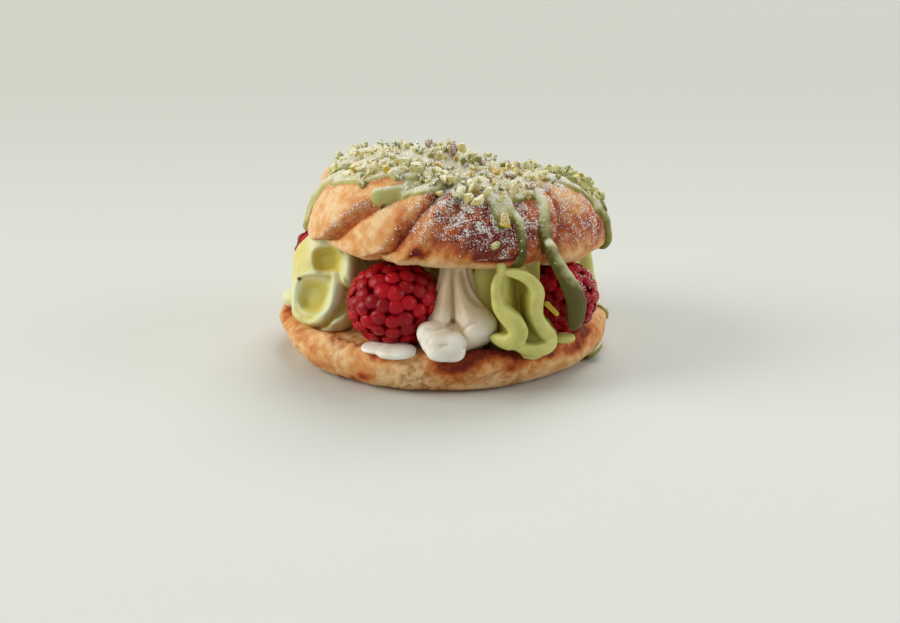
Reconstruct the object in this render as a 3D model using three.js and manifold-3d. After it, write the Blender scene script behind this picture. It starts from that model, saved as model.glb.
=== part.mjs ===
// A Paris-Brest: a ring of choux pastry cut in two, filled with piped pistachio cream, piped white
// cream and raspberries, and topped with pistachio glaze and chopped pistachios.
// Millimetres, +Z up, -Y is the front. The origin is under the middle of the pastry.
// A place on either ring is an angle round the ring (degrees, -90 is the front, 0 the right) and a
// turn round its section (degrees, 0 outwards, 90 up, 180 to the hole, -90 down).
import * as THREE from "three";
import { ConvexHull } from "three/addons/math/ConvexHull.js";
import { mergeVertices } from "three/addons/utils/BufferGeometryUtils.js";
import Module from "manifold-3d";

const wasm = await Module();
wasm.setup();

// ---- Driving sizes ---------------------------------------------------------------------------
const BASE_RADIUS = 39.4; // the lower ring, at its rim
const BASE_HOLE = 9.5;
const BASE_HEIGHT = 10;
const BASE_FOOT = 35.5; // radius of the flat that it rests on
const LID_RADIUS = 35.8; // the upper ring, at its widest
const LID_HOLE = 8.5;
const LID_HEIGHT = 18.6;
const LID_WAIST = 4; // height of the widest line above the cut
const LID_ROUND = 0.92; // 1 for a round section, less for a squarish one
const LID_PLACE = new THREE.Vector3(2.8, 0.4, 26.1); // middle of the lid's cut face
const LID_LEAN = 2.9; // degrees, down to the right
const LID_PITCH = 4.5; // degrees, down to the back
const GLAZE = 0.9; // thickness of the glaze on the crest
const GAP = 0.3; // between neighbouring pieces
const CHIPS = 46; // chopped pistachios on the glaze
const ORIGIN_SHIFT = new THREE.Vector3(-0.4, 0.4, 0); // centres the whole on the origin

const RED = { color: 0x9c1426, roughness: 0.35, metalness: 0 };
const GREEN = { color: 0xc3cb74, roughness: 0.5, metalness: 0 };
const WHITE = { color: 0xf1ece0, roughness: 0.5, metalness: 0 };
const CRUST = { color: 0xc98a4b, roughness: 0.7, metalness: 0 };

const DEG = Math.PI / 180;
const { sin, cos, abs, sign, exp, hypot, sqrt, floor } = Math;
const clamp = THREE.MathUtils.clamp;
const smooth = (x, low, high) => THREE.MathUtils.smoothstep(x, low, high);
const around = (a, centre) => ((((a - centre) % 360) + 540) % 360) - 180; // -180 to 180 degrees
const bell = (x, width) => exp(-((x / width) ** 2));
const power = (x, p) => sign(x) * abs(x) ** p;

// A seeded random draw, so that the part is the same each time.
function dice(seed) {
  let state = seed;
  return () => {
    state = (state * 1103515245 + 12345) % 2147483648;
    return state / 2147483648;
  };
}

// A smooth curve through rows of numbers.
function along(rows, share) {
  const x = clamp(share, 0, 1) * (rows.length - 1);
  const k = Math.min(floor(x), rows.length - 2);
  const t = x - k;
  const row = (n) => rows[clamp(n, 0, rows.length - 1)];
  return rows[k].map((_, i) => {
    const [p, q, r, s] = [row(k - 1)[i], row(k)[i], row(k + 1)[i], row(k + 2)[i]];
    return q + 0.5 * t * (r - p + t * (2 * p - 5 * q + 4 * r - s + t * (3 * (q - r) + s - p)));
  });
}

// ---- Solids from grids of points ---------------------------------------------------------------
function solidOf(positions, index) {
  const geometry = new THREE.BufferGeometry();
  geometry.setAttribute("position", new THREE.Float32BufferAttribute(positions, 3));
  geometry.setIndex(index);
  const merged = mergeVertices(geometry, 1e-4);
  const vertProperties = merged.attributes.position.array;
  const triVerts = new Uint32Array(merged.index.array);
  return new wasm.Manifold(new wasm.Mesh({ numProp: 3, vertProperties, triVerts }));
}

// A ring: the section closes on itself, and so does the way round.
function ringSolid(columns, turns, pointAt) {
  const positions = [];
  const index = [];
  const rows = turns.length;
  const at = (i, j) => (i % columns) * rows + (j % rows);
  for (let i = 0; i < columns; i++)
    for (let j = 0; j < rows; j++) {
      positions.push(...pointAt(i, turns[j]));
      index.push(at(i, j), at(i + 1, j), at(i + 1, j + 1));
      index.push(at(i, j), at(i + 1, j + 1), at(i, j + 1));
    }
  return solidOf(positions, index);
}

// A tube or a blob: rows of points that close on themselves, with a point at each end.
function cappedSolid(rows, columns, start, end, pointAt) {
  const positions = [...start, ...end];
  const index = [];
  const at = (i, j) => 2 + i * columns + (j % columns);
  for (let i = 0; i < rows; i++)
    for (let j = 0; j < columns; j++) {
      positions.push(...pointAt(i / (rows - 1), j));
      if (i === 0) index.push(0, at(0, j + 1), at(0, j));
      if (i === rows - 1) index.push(1, at(i, j), at(i, j + 1));
      else {
        index.push(at(i, j), at(i, j + 1), at(i + 1, j + 1));
        index.push(at(i, j), at(i + 1, j + 1), at(i + 1, j));
      }
    }
  return solidOf(positions, index);
}

// The smallest solid with flat faces round some points.
function hullSolid(points) {
  const hull = new ConvexHull().setFromPoints(points);
  const index = hull.faces.flatMap(({ edge }) => {
    const loop = [];
    for (let e = edge; !loop.length || e !== edge; e = e.next) loop.push(points.indexOf(e.head().point));
    return loop.slice(2).flatMap((corner, k) => [loop[0], loop[k + 1], corner]);
  });
  return solidOf(points.flatMap((p) => p.toArray()), index);
}

const union = (solids) => solids.reduce((whole, piece) => whole.add(piece));
const biggest = (solid) => solid.decompose().sort((a, b) => b.volume() - a.volume())[0];

// ---- Lower ring --------------------------------------------------------------------------------
// Each bump or dent: angle, height, how far it stands out, its half width in degrees, half height.
const BASE_BUMPS = [
  [-176, 7.6, 1.1, 15, 2.6],
  [-170, 2.6, -2.2, 20, 2.2],
  [-148, 4.6, 0.6, 9, 3],
  [-128, 4, -0.5, 7, 4],
  [-104, 5.5, 0.5, 12, 3],
  [-70, 6.5, 0.7, 16, 2.4],
  [-66, 2.5, -0.4, 20, 2],
  [-34, 7, -0.5, 12, 2],
  [-12, 4.5, 0.7, 12, 3],
  [40, 6, 0.7, 14, 2.6],
  [75, 3, -0.6, 12, 3],
  [120, 6, 0.6, 16, 2.6],
];
const BASE_TURNS = [-64, -42, -26, -11, 5, 24, 48, 66, 90, 114, 138, 180, 216, 244];
const BASE_COLUMNS = 52;

function basePoint(angle, turn, grow = 0) {
  const a = angle * DEG;
  const c = cos(turn * DEG);
  const s = sin(turn * DEG);
  const rim = BASE_RADIUS + 0.5 * sin(2 * a + 1.1) + 0.4 * sin(5 * a + 0.4) + 0.25 * sin(9 * a);
  const hole = BASE_HOLE + 0.4 * sin(3 * a + 2);
  const half = (rim - hole) / 2;
  const wave = 0.35 * sin(3 * a) + 0.25 * sin(7 * a + 1);
  const trough = 1.1 * smooth(s, 0.6, 0.98); // the cut face is shallow in the middle
  const tall = BASE_HEIGHT * (0.5 + 0.56 * power(s, 0.6));
  const low = 1 - clamp(tall / (0.75 * BASE_HEIGHT), 0, 1);
  let r = hole + half + half * power(c, 0.5);
  r -= c > 0 ? (rim - BASE_FOOT) * low ** 1.6 * c ** 0.2 : -3 * low ** 2;
  if (c > 0)
    for (const [place, height, depth, wide, high] of BASE_BUMPS)
      r += depth * bell(around(angle, place), wide) * bell(tall - height, high) * c;
  const z = clamp(tall, 0, BASE_HEIGHT + wave) - trough;
  return [(r + grow * c) * cos(a), (r + grow * c) * sin(a), Math.max(z + grow * s, 0)];
}

// ---- Upper ring --------------------------------------------------------------------------------
// The piped ridges. Each starts at a crease, given by its angle at the rim and at the crest, and
// runs counterclockwise to the next one. Then come the place of its top, its height, its roundness.
const RIDGES = [
  [-203, -158, 0.8, 2.1, 1.15],
  [-149, -108, 0.5, 1.6, 1.9],
  [-121, -96, 0.45, 1.7, 1.7],
  [-112, -84, 0.5, 1.5, 1.9],
  [-98, -68, 0.6, 1.7, 1.4],
  [-70, -54, 0.5, 1.8, 2],
  [-51, -38, 0.5, 1.9, 2],
  [-22, -6, 0.45, 1.7, 1.8],
  [6, 28, 0.5, 1.8, 1.8],
  [34, 56, 0.5, 1.6, 1.8],
  [60, 84, 0.5, 1.8, 1.8],
  [88, 114, 0.45, 1.7, 1.6],
  [112, 146, 0.5, 1.7, 1.8],
  [134, 176, 0.5, 1.6, 1.8],
];
const CREASE = 1; // how far the creases lie inside the plain ring
const LID_TURNS = [-62, -32, -12, 6, 24, 42, 60, 78, 98, 124, 156, 200, 242];
const COLUMNS_A_RIDGE = 5;

function creaseAngle(k, turn) {
  const climb = clamp((turn + 20) / 110, 0, 1) ** 0.8;
  const [rim, crest] = RIDGES[k % RIDGES.length];
  return rim + (crest - rim) * climb + 360 * floor(k / RIDGES.length);
}

function ridgeHeight(angle, turn) {
  const a = creaseAngle(0, turn) + ((((angle - creaseAngle(0, turn)) % 360) + 360) % 360);
  let k = 0;
  while (creaseAngle(k + 1, turn) <= a) k++;
  const [, , top, height, round] = RIDGES[k % RIDGES.length];
  const share = (a - creaseAngle(k, turn)) / (creaseAngle(k + 1, turn) - creaseAngle(k, turn));
  const climb = clamp(share < top ? share / top : (1 - share) / (1 - top), 0, 1);
  return height * (1 - (1 - climb) ** round) - CREASE;
}

// The glaze runs round the crest, with a wavy lower edge.
function glazeShare(angle, turn) {
  const a = angle * DEG;
  const edge = 60 + 7 * sin(5 * a + 0.6) + 5 * sin(9 * a) + 16 * bell(around(angle, -36), 22);
  return smooth(turn, edge - 8, edge + 8) * (1 - smooth(turn, 122, 146));
}

function lidPoint(angle, turn, grow = 0) {
  const a = angle * DEG;
  const up = around(turn, 0);
  const c = cos(turn * DEG);
  const s = sin(turn * DEG);
  const dip = 3 * bell(around(angle, 62), 24) + 2.2 * bell(around(angle, -60), 9) * smooth(up, 55, 90);
  const crest = LID_HEIGHT + cos(a + 140 * DEG) - dip;
  const rim = LID_RADIUS + 0.5 * sin(2 * a + 0.6) + 0.35 * sin(3 * a + 2);
  const half = (rim - LID_HOLE) / 2;
  const shown = smooth(up, -60, -20) * (1 - 0.7 * smooth(up, 100, 160));
  const out = grow + ridgeHeight(angle, clamp(up, -90, 170)) * shown + GLAZE * glazeShare(angle, up);
  const r = LID_HOLE + half + half * power(c, LID_ROUND) + out * c;
  const rise = s > 0 ? crest - LID_WAIST : 1.3 * LID_WAIST;
  const cut = 1.4 * cos(a) ** 2 + 0.3 * sin(3 * a + 1) - grow;
  return [r * cos(a), r * sin(a), Math.max(LID_WAIST + rise * power(s, LID_ROUND) + out * s, cut)];
}

const LID_TURN = new THREE.Matrix4()
  .makeRotationFromEuler(new THREE.Euler(-LID_PITCH * DEG, LID_LEAN * DEG, 0))
  .setPosition(LID_PLACE);

// ---- Drips of glaze that follow a ring's surface -----------------------------------------------
// Rows of angle, turn, half width and thickness, from the start of each drip to its tip.
const LID_DRIPS = [
  { steps: 14, rows: [[-78, 66, 2.2, 0.8], [-62, 66, 2.4, 1.1], [-53, 62, 2, 1.1], [-51.5, 48, 1.7, 1.1],
    [-53.5, 26, 1.6, 1.3], [-54, 4, 1.8, 1.5], [-54, -22, 2, 1.8]] },
  { steps: 10, rows: [[-72, 62, 2.6, 1], [-69, 47, 2.2, 1], [-65, 30, 1.2, 1], [-64.5, 5, 1.1, 1.1],
    [-65.5, -18, 1.4, 1.2], [-66, -34, 1.5, 1.1]] },
  { steps: 8, rows: [[-162, 76, 3, 1], [-165, 54, 2.2, 1], [-168, 38, 1.6, 1], [-167.5, 20, 1.3, 1.1],
    [-163, 2, 1.5, 1.2], [-161, -8, 1.3, 1.1]] },
  { steps: 9, rows: [[4, 80, 4, 0.8], [-6, 60, 3.6, 1], [-8, 38, 2.6, 1.1], [-7, 14, 1.8, 1.2],
    [-6, -12, 1.7, 1.3], [-6, -34, 1.4, 1.1]] },
  { steps: 7, rows: [[128, 74, 2.6, 1], [130, 50, 1.8, 1], [132, 24, 1.4, 1.1], [131, 0, 1.6, 1.2]] },
  { steps: 7, rows: [[84, 76, 2.6, 1], [86, 50, 1.7, 1], [85, 22, 1.3, 1.1], [87, -16, 1.6, 1.2]] },
];
const BASE_DRIPS = [
  { steps: 5, rows: [[3, 74, 1.4, 0.9], [3, 48, 1.7, 1], [2, 20, 1.5, 1], [1, 2, 1, 0.8]] },
  { steps: 6, rows: [[-13, 8, 1.2, 0.8], [-14, -16, 2, 1], [-15, -32, 2.4, 1], [-16, -40, 1.8, 0.8]] },
];
const DRIP_SIDES = 6;
const SUNK = 0.6; // how deep a drip's underside lies in what carries it

// The point of a surface, the ways along it and the way out of it.
function surfaceAt(pointAt, angle, turn) {
  const at = (a, t) => new THREE.Vector3(...pointAt(a, t));
  const here = at(angle, turn);
  const round = at(angle + 1, turn).sub(here);
  const up = at(angle, turn + 1).sub(here);
  return { here, round, up, out: new THREE.Vector3().crossVectors(round, up).normalize() };
}

function dripPoint(pointAt, rows, share, corner) {
  const [a, t, width, thick] = along(rows, share);
  const [a1, t1] = along(rows, share + 0.02);
  const [a0, t0] = along(rows, share - 0.02);
  const { round, up } = surfaceAt(pointAt, a, t);
  const across = [(a1 - a0) * round.length(), (t1 - t0) * up.length()];
  const size = hypot(...across);
  const end = sqrt(clamp(1 - (2 * share - 1) ** 12, 0.1, 1)); // rounds the ends off
  const beside = width * end * cos(corner * DEG);
  const da = ((across[1] / size) * beside) / round.length();
  const dt = ((across[0] / size) * beside) / up.length();
  const foot = surfaceAt(pointAt, a - da, t + dt);
  const s = sin(corner * DEG);
  return foot.here.addScaledVector(foot.out, s > 0 ? thick * end * s ** 0.7 : SUNK * s).toArray();
}

function dripSolid(pointAt, { rows, steps }) {
  const tip = (share) => surfaceAt(pointAt, ...along(rows, share)).here.toArray();
  const corner = 360 / DRIP_SIDES;
  return cappedSolid(steps, DRIP_SIDES, tip(0), tip(1), (share, j) =>
    dripPoint(pointAt, rows, share, corner * (j + 0.5)),
  );
}

// The drip that leaves the lid's rim and hangs in front of the right-hand raspberry:
// x, y, z, half width, half thickness.
const HANGING_DRIP = [
  [24.2, -28.4, 34.6, 1.8, 1.5],
  [25.4, -29.4, 31.4, 1.9, 1.4],
  [27.4, -30.2, 28, 2.2, 1.2],
  [29.6, -30.4, 24.2, 2.8, 1.2],
  [31, -29.8, 20, 3.1, 1.3],
  [31, -29, 16, 2.7, 1.3],
  [30.2, -28.2, 12.8, 1.7, 1.1],
];

function hangingDrip(grow = 0) {
  const centre = (share) => new THREE.Vector3(...along(HANGING_DRIP, share));
  const wide = new THREE.Vector3(-HANGING_DRIP[0][1], HANGING_DRIP[0][0], 0).normalize();
  const tip = (share, way) => centre(share).add(new THREE.Vector3(0, 0, way * (0.5 + grow))).toArray();
  return cappedSolid(10, 8, tip(0, 1), tip(1, -1), (share, j) => {
    const [, , , width, thick] = along(HANGING_DRIP, share);
    const end = sqrt(clamp(1 - (2 * share - 1) ** 10, 0.15, 1));
    const ahead = centre(share + 0.02).sub(centre(share - 0.02)).normalize();
    const front = new THREE.Vector3().crossVectors(wide, ahead).normalize();
    return centre(share)
      .addScaledVector(wide, (width * end + grow) * cos(45 * j * DEG))
      .addScaledVector(front, -(thick * end + grow) * sin(45 * j * DEG))
      .toArray();
  });
}

// ---- Chopped pistachios ------------------------------------------------------------------------
// A chip is a small block with uneven corners.
function chip(size, centre, random) {
  const turn = new THREE.Euler(360 * DEG * random(), 360 * DEG * random(), 360 * DEG * random());
  const stretch = new THREE.Vector3(size, 0.7 * size, 0.55 * size);
  const corners = Array.from({ length: 8 }, (_, k) => {
    const corner = new THREE.Vector3(k & 1 ? 1 : -1, k & 2 ? 1 : -1, k & 4 ? 1 : -1);
    corner.multiplyScalar(0.6 + 0.4 * random()).multiply(stretch);
    return corner.applyEuler(turn).add(centre);
  });
  return hullSolid(corners);
}

function chippedPistachios() {
  const random = dice(7);
  const chips = Array.from({ length: CHIPS }, (_, k) => {
    const angle = (360 * (k + 0.8 * random())) / CHIPS;
    const turn = 70 + 44 * random();
    const size = 0.9 + 0.8 * random();
    const { here, out } = surfaceAt(lidPoint, angle, turn);
    return chip(size, here.addScaledVector(out, 0.25 * size), random);
  });
  return union(chips);
}

// ---- Raspberries -------------------------------------------------------------------------------
// Each berry: middle, half sizes, the tilt of its axis and the way it leans, and its drupelets.
const BERRIES = {
  raspberry_front: { at: [-11.7, -24.6, 18.9], size: [11.1, 10.6, 9.8], tilt: 62, lean: -120, drupelets: 92 },
  raspberry_right: { at: [27.6, -17.6, 17.8], size: [9.4, 9.6, 9], tilt: 75, lean: -25, drupelets: 84 },
  raspberry_left: { at: [-27.6, 13.2, 18.6], size: [9.2, 9.2, 8.7], tilt: 70, lean: 160, drupelets: 78 },
  raspberry_back: { at: [5.2, 27, 16.5], size: [9.8, 9.4, 7.3], tilt: 80, lean: 85, drupelets: 76 },
};
const CREASE_SHARE = 0.87; // radius of the creases between drupelets, the crests being 1
const GOLDEN_ANGLE = 137.508;

function spread(count) {
  return Array.from({ length: count }, (_, k) => {
    const z = 1 - (2 * k + 1) / count;
    const r = sqrt(1 - z * z);
    return new THREE.Vector3(r * cos(GOLDEN_ANGLE * k * DEG), r * sin(GOLDEN_ANGLE * k * DEG), z);
  });
}

// Each drupelet is a low pyramid on the faces that its neighbours leave it.
function berrySolid({ at, size, tilt, lean, drupelets }) {
  const crests = spread(drupelets);
  const creases = new ConvexHull().setFromPoints(crests).faces.map((face) => face.normal.clone());
  const points = [...crests, ...creases.map((p) => p.normalize())];
  const hull = new ConvexHull().setFromPoints(points);
  const index = hull.faces.flatMap(({ edge }) =>
    [edge, edge.next, edge.prev].map((e) => points.indexOf(e.head().point)),
  );
  const turned = new THREE.Euler(0, tilt * DEG, lean * DEG, "ZYX");
  const positions = points.flatMap((way, k) => {
    const share = k < drupelets ? 1 : CREASE_SHARE;
    return way.applyEuler(turned).toArray().map((c, i) => at[i] + c * share * size[i]);
  });
  return solidOf(positions, index);
}

function blobSolid({ at, size }, grow = 0, rows = 6, columns = 12) {
  const pole = (way) => [at[0], at[1], at[2] + way * (size[2] + grow)];
  return cappedSolid(rows, columns, pole(-1), pole(1), (share, j) => {
    const up = (-75 + 150 * share) * DEG;
    const a = (360 * DEG * j) / columns;
    const way = [cos(up) * cos(a), cos(up) * sin(a), sin(up)];
    return way.map((c, i) => at[i] + c * (size[i] + grow));
  });
}

// ---- Piped creams ------------------------------------------------------------------------------
// A rosette is a bundle of folds. Each fold has rows of angle and reach from the rosette's middle,
// at four heights from the foot to the top. Between two folds lies a valley, whose reach is a
// share of theirs.
const plainFolds = (count, first, twist, reach) =>
  Array.from({ length: count }, (_, k) =>
    [0, 1, 2, 3].map((step) => [first + (360 * k) / count + (twist * step) / 3, reach[step]]),
  );
const ROSETTES = {
  white_cream_front: {
    at: [3, -26.8],
    valley: 0.72,
    folds: [
      [[-118, 12], [-112, 7], [-104, 4.8], [-102, 4.2]],
      [[-84, 8.6], [-82, 6.4], [-80, 4.9], [-78, 4.2]],
      [[-38, 9.2], [-36, 9.8], [-48, 6], [-50, 4.2]],
      [[30, 8], [30, 7], [30, 6], [30, 5]],
      [[90, 9], [90, 8], [90, 7], [90, 6]],
      [[190, 8], [190, 7], [190, 6], [190, 4.6]],
    ],
  },
  pistachio_cream_right: {
    at: [16.6, -25],
    valley: 0.56,
    folds: [
      [[-98, 11.4], [-90, 10.6], [-118, 10], [-119, 8.6]],
      [[-52, 13], [-53, 11], [-49, 9.6], [-66, 3.4]],
      [[0, 11], [4, 10], [0, 9], [-5, 8]],
      [[62, 12], [64, 11], [58, 10], [52, 8]],
      [[122, 12], [124, 11], [118, 10], [112, 8]],
      [[188, 11], [196, 10], [186, 9.6], [182, 8]],
    ],
  },
  pistachio_cream_left: {
    at: [-27.4, -6.8],
    valley: 0.6,
    folds: [
      [[-112, 10.5], [-104, 9.6], [-88, 8], [-96, 9.2]],
      [[-58, 10], [-44, 8.2], [-40, 8.6], [-52, 10.4]],
      [[20, 11], [30, 10], [24, 9], [20, 8]],
      [[88, 11], [96, 10], [90, 9], [88, 8]],
      [[150, 11], [152, 10], [146, 8], [140, 5]],
      [[204, 11.6], [206, 9.8], [210, 8], [206, 4.6]],
    ],
  },
  pistachio_cream_far_right: { at: [29, 5.4], valley: 0.6, folds: plainFolds(6, 8, 34, [11.2, 10.4, 9, 7.8]) },
  pistachio_cream_back: { at: [-9, 27.6], valley: 0.6, folds: plainFolds(6, 26, 34, [10.8, 10, 8.6, 7.6]) },
  white_cream_back_right: { at: [19, 20.6], valley: 0.66, folds: plainFolds(6, 10, 30, [9.6, 8.6, 7, 6]) },
  white_cream_back_left: { at: [-21, 21.4], valley: 0.66, folds: plainFolds(6, 44, 30, [8.8, 8, 6.6, 5.6]) },
};
const CREAM_FOOT = 8; // the foot and the top reach into the choux, and are cut off there
const CREAM_TOP = 30.5;
const CREAM_ROWS = 7;
const FOLD_SHARES = [0, 0.2, 0.5, 0.8]; // columns from one fold's lip to the next

function rosetteReach(folds, valley, column, share) {
  const k = floor(column / FOLD_SHARES.length);
  const part = FOLD_SHARES[column % FOLD_SHARES.length];
  const [a0, r0] = along(folds[k], share);
  const [a1, r1] = along(folds[(k + 1) % folds.length], share);
  const lip = abs(1 - 2 * part) ** 1.6;
  const plain = r0 + (r1 - r0) * part;
  return [a0 + (((a1 - a0) % 360) + 360) % 360 * part, plain * (valley + (1 - valley) * lip)];
}

function rosetteSolid({ at, folds, valley }, grow = 0) {
  const columns = folds.length * FOLD_SHARES.length;
  return cappedSolid(CREAM_ROWS, columns, [...at, CREAM_FOOT], [...at, CREAM_TOP], (share, j) => {
    const hem = sqrt(clamp(1 - (2 * share - 1) ** 8, 0.3, 1)); // rounds the foot and the top off
    const [angle, plain] = rosetteReach(folds, valley + 0.14 * (1 - share), j, share);
    const reach = plain * hem;
    const z = CREAM_FOOT + (CREAM_TOP - CREAM_FOOT) * share;
    return [at[0] + (reach + grow) * cos(angle * DEG), at[1] + (reach + grow) * sin(angle * DEG), z];
  });
}

// Small lobes and dabs of cream: middle and half sizes.
const DABS = {
  white_cream_dab: { at: [-11.8, -33.6, 10], size: [6.3, 4.6, 1.9] },
  pistachio_cream_dab: { at: [28.4, -27.4, 9.8], size: [3, 2.6, 1.7] },
};
const TONGUE = { at: [-0.4, -36, 10.6], size: [5.2, 4.2, 3.2] }; // laps over the rim
const CREAM_LOBE = { at: [-34.6, 2.4, 14], size: [3.6, 4.4, 3.4] };

// A sliver of pistachio stuck in the right-hand rosette.
const SLIVER = { at: [24.4, -29.6, 18.6], way: [0.7, -0.3, -0.62], length: 2, width: 0.75 };
function sliverSolid() {
  const ahead = new THREE.Vector3(...SLIVER.way).normalize();
  const side = new THREE.Vector3(0, 0, 1).cross(ahead).normalize();
  const face = new THREE.Vector3().crossVectors(ahead, side);
  const points = [0, 1, 2, 3, 4, 5, 6, 7].map((k) =>
    new THREE.Vector3(...SLIVER.at)
      .addScaledVector(ahead, (k & 1 ? 1 : -1) * SLIVER.length)
      .addScaledVector(side, (k & 2 ? 1 : -1) * SLIVER.width * (k & 1 ? 0.5 : 1))
      .addScaledVector(face, (k & 4 ? 0.5 : -0.5) * SLIVER.width),
  );
  return hullSolid(points);
}
const EXTRAS = {
  white_cream_front: (grow) => [blobSolid(TONGUE, grow)],
  pistachio_cream_left: (grow) => [blobSolid(CREAM_LOBE, grow)],
  pistachio_cream_right: () => [sliverSolid()],
};

// ---- Putting the pieces together ---------------------------------------------------------------
const baseRing = (columns, grow) =>
  ringSolid(columns, BASE_TURNS, (i, turn) => basePoint((360 * i) / columns, turn, grow));
const lidRing = (columns, grow) =>
  ringSolid(columns * RIDGES.length, LID_TURNS, (i, turn) => {
    const k = floor(i / columns);
    const share = (i % columns) / columns;
    const high = clamp(around(turn, 0), -90, 170);
    const angle = creaseAngle(k, high) * (1 - share) + creaseAngle(k + 1, high) * share;
    return lidPoint(angle, turn, grow);
  }).transform(LID_TURN.toArray());

const CLEARANCE = GAP + 0.3; // the plain shapes that cut the creams lie a little further out
const ringsGrown = union([baseRing(28, CLEARANCE), lidRing(3, CLEARANCE), hangingDrip(GAP)]);
const berriesGrown = Object.values(BERRIES).map((berry) => blobSolid(berry, CLEARANCE));

const solids = {};
solids.choux_base = union([baseRing(BASE_COLUMNS, 0), ...BASE_DRIPS.map((drip) => dripSolid(basePoint, drip))]);
const lidToppings = union([...LID_DRIPS.map((drip) => dripSolid(lidPoint, drip)), chippedPistachios()]);
solids.choux_lid = biggest(
  union([lidRing(COLUMNS_A_RIDGE, 0), lidToppings.transform(LID_TURN.toArray()), hangingDrip()]),
);
for (const [name, berry] of Object.entries(BERRIES)) solids[name] = berrySolid(berry);

// The creams give way to the choux and the berries, and then to the creams made before them.
let taken = union([ringsGrown, ...berriesGrown]);
function addCream(name, cream, grown) {
  solids[name] = biggest(cream.subtract(taken));
  taken = taken.add(grown);
}
for (const [name, dab] of Object.entries(DABS)) addCream(name, blobSolid(dab, 0, 5, 10), blobSolid(dab, GAP));
for (const [name, rosette] of Object.entries(ROSETTES)) {
  const extras = EXTRAS[name] ?? (() => []);
  const cream = union([rosetteSolid(rosette), ...extras(0)]);
  addCream(name, cream, union([rosetteSolid(rosette, GAP), ...extras(GAP)]));
}

function meshOf(name, solid, look) {
  const { vertProperties, triVerts } = solid.getMesh();
  const geometry = new THREE.BufferGeometry();
  geometry.setAttribute("position", new THREE.BufferAttribute(vertProperties, 3));
  geometry.setIndex(new THREE.BufferAttribute(triVerts, 1));
  geometry.computeVertexNormals();
  const mesh = new THREE.Mesh(geometry, new THREE.MeshStandardMaterial(look));
  mesh.name = name;
  return mesh;
}

function lookOf(name) {
  if (name.startsWith("choux")) return CRUST;
  if (name.startsWith("raspberry")) return RED;
  return name.startsWith("white") ? WHITE : GREEN;
}

const pastry = new THREE.Group();
pastry.position.copy(ORIGIN_SHIFT);
for (const [name, solid] of Object.entries(solids)) pastry.add(meshOf(name, solid, lookOf(name)));

const whole = new THREE.Group();
whole.add(pastry);
export default whole;
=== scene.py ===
# %% [markdown]
# # A Paris-Brest
# This pastry is a ring of choux cut in two, with piped cream and raspberries between the halves.
# We build every piece as a mesh from a few sizes and formulas, then give each one a procedural
# material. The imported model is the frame: our pieces go exactly where its solids are.

# %% Load the frame
import math

import bmesh
import bpy
import numpy as np
from mathutils import Euler, Matrix, Vector, noise


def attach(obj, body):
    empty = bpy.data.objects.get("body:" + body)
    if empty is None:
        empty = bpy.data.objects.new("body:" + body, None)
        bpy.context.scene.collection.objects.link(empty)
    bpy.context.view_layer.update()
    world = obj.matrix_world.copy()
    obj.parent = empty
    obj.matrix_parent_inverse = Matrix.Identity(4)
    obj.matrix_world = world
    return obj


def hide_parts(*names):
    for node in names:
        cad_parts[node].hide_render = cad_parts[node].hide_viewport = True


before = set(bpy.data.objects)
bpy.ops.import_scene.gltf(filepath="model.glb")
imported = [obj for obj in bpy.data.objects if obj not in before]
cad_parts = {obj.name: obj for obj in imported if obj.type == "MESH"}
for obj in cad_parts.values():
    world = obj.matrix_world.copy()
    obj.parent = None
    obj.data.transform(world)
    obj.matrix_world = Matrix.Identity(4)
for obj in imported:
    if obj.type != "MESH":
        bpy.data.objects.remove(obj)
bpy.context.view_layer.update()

# %% [markdown]
# ## Tools for shaping
# Dough and cream have no straight edges, so we work with soft steps, bells and smooth curves.
# NumPy handles a whole grid of points at once, which keeps the script fast. Sizes are in
# millimetres and angles in degrees, and only the last step turns them into metres.

# %% Soft steps and bells
MM = 0.001
DEG = math.pi / 180
SHIFT = np.array([-0.4, 0.4, 0])  # centres the whole pastry on the origin


def smooth(x, low, high):
    """0 below low, 1 above high, and a soft step between them."""
    t = np.clip((x - low) / (high - low), 0, 1)
    return t * t * (3 - 2 * t)


def bell(x, width):
    """1 at 0, falling away softly on both sides."""
    return np.exp(-((x / width) ** 2))


def power(x, p):
    """A power that keeps the sign, so that rounded boxes can be drawn with sine and cosine."""
    return np.sign(x) * np.abs(x) ** p


def around(angle, centre):
    """How far an angle is from another, from -180 to 180 degrees."""
    return (angle - centre + 180) % 360 - 180


def soft_patches(rows, angle, height):
    """Adds up patches: rows of angle, height, half width, half height and strength."""
    return sum(
        strength * bell(around(angle, place), wide) * bell(height - level, high)
        for place, level, wide, high, strength in rows
    )


print("a bell at its width:", round(float(bell(1, 1)), 2))

# %% [markdown]
# Curves run smoothly through a few rows of numbers, which is all that a drip or a fold of cream
# needs. Fractal noise gives the unevenness that no formula has.

# %% Curves and noise
def along(rows, share):
    """A smooth curve through rows of numbers, at shares from 0 to 1 of its length."""
    rows = np.asarray(rows, float)
    last = len(rows) - 1
    x = np.clip(share, 0, 1) * last
    k = np.minimum(np.floor(x).astype(int), last - 1)
    t = (x - k)[..., None]
    p, q, r, s = (rows[np.clip(k + n, 0, last)] for n in (-1, 0, 1, 2))
    return q + 0.5 * t * (r - p + t * (2 * p - 5 * q + 4 * r - s + t * (3 * (q - r) + s - p)))


def clouds(points, size, octaves=2):
    """Uneven numbers round 0, one for each point, in lumps of that size."""
    flat = (np.asarray(points, float) / size).reshape(-1, 3)
    lumps = [noise.fractal(Vector(p), 1.0, 2.0, octaves) for p in flat]
    return np.array(lumps).reshape(np.shape(points)[:-1])


def unit(v):
    """Vectors of length 1."""
    return v / np.maximum(np.linalg.norm(v, axis=-1, keepdims=True), 1e-9)


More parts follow.
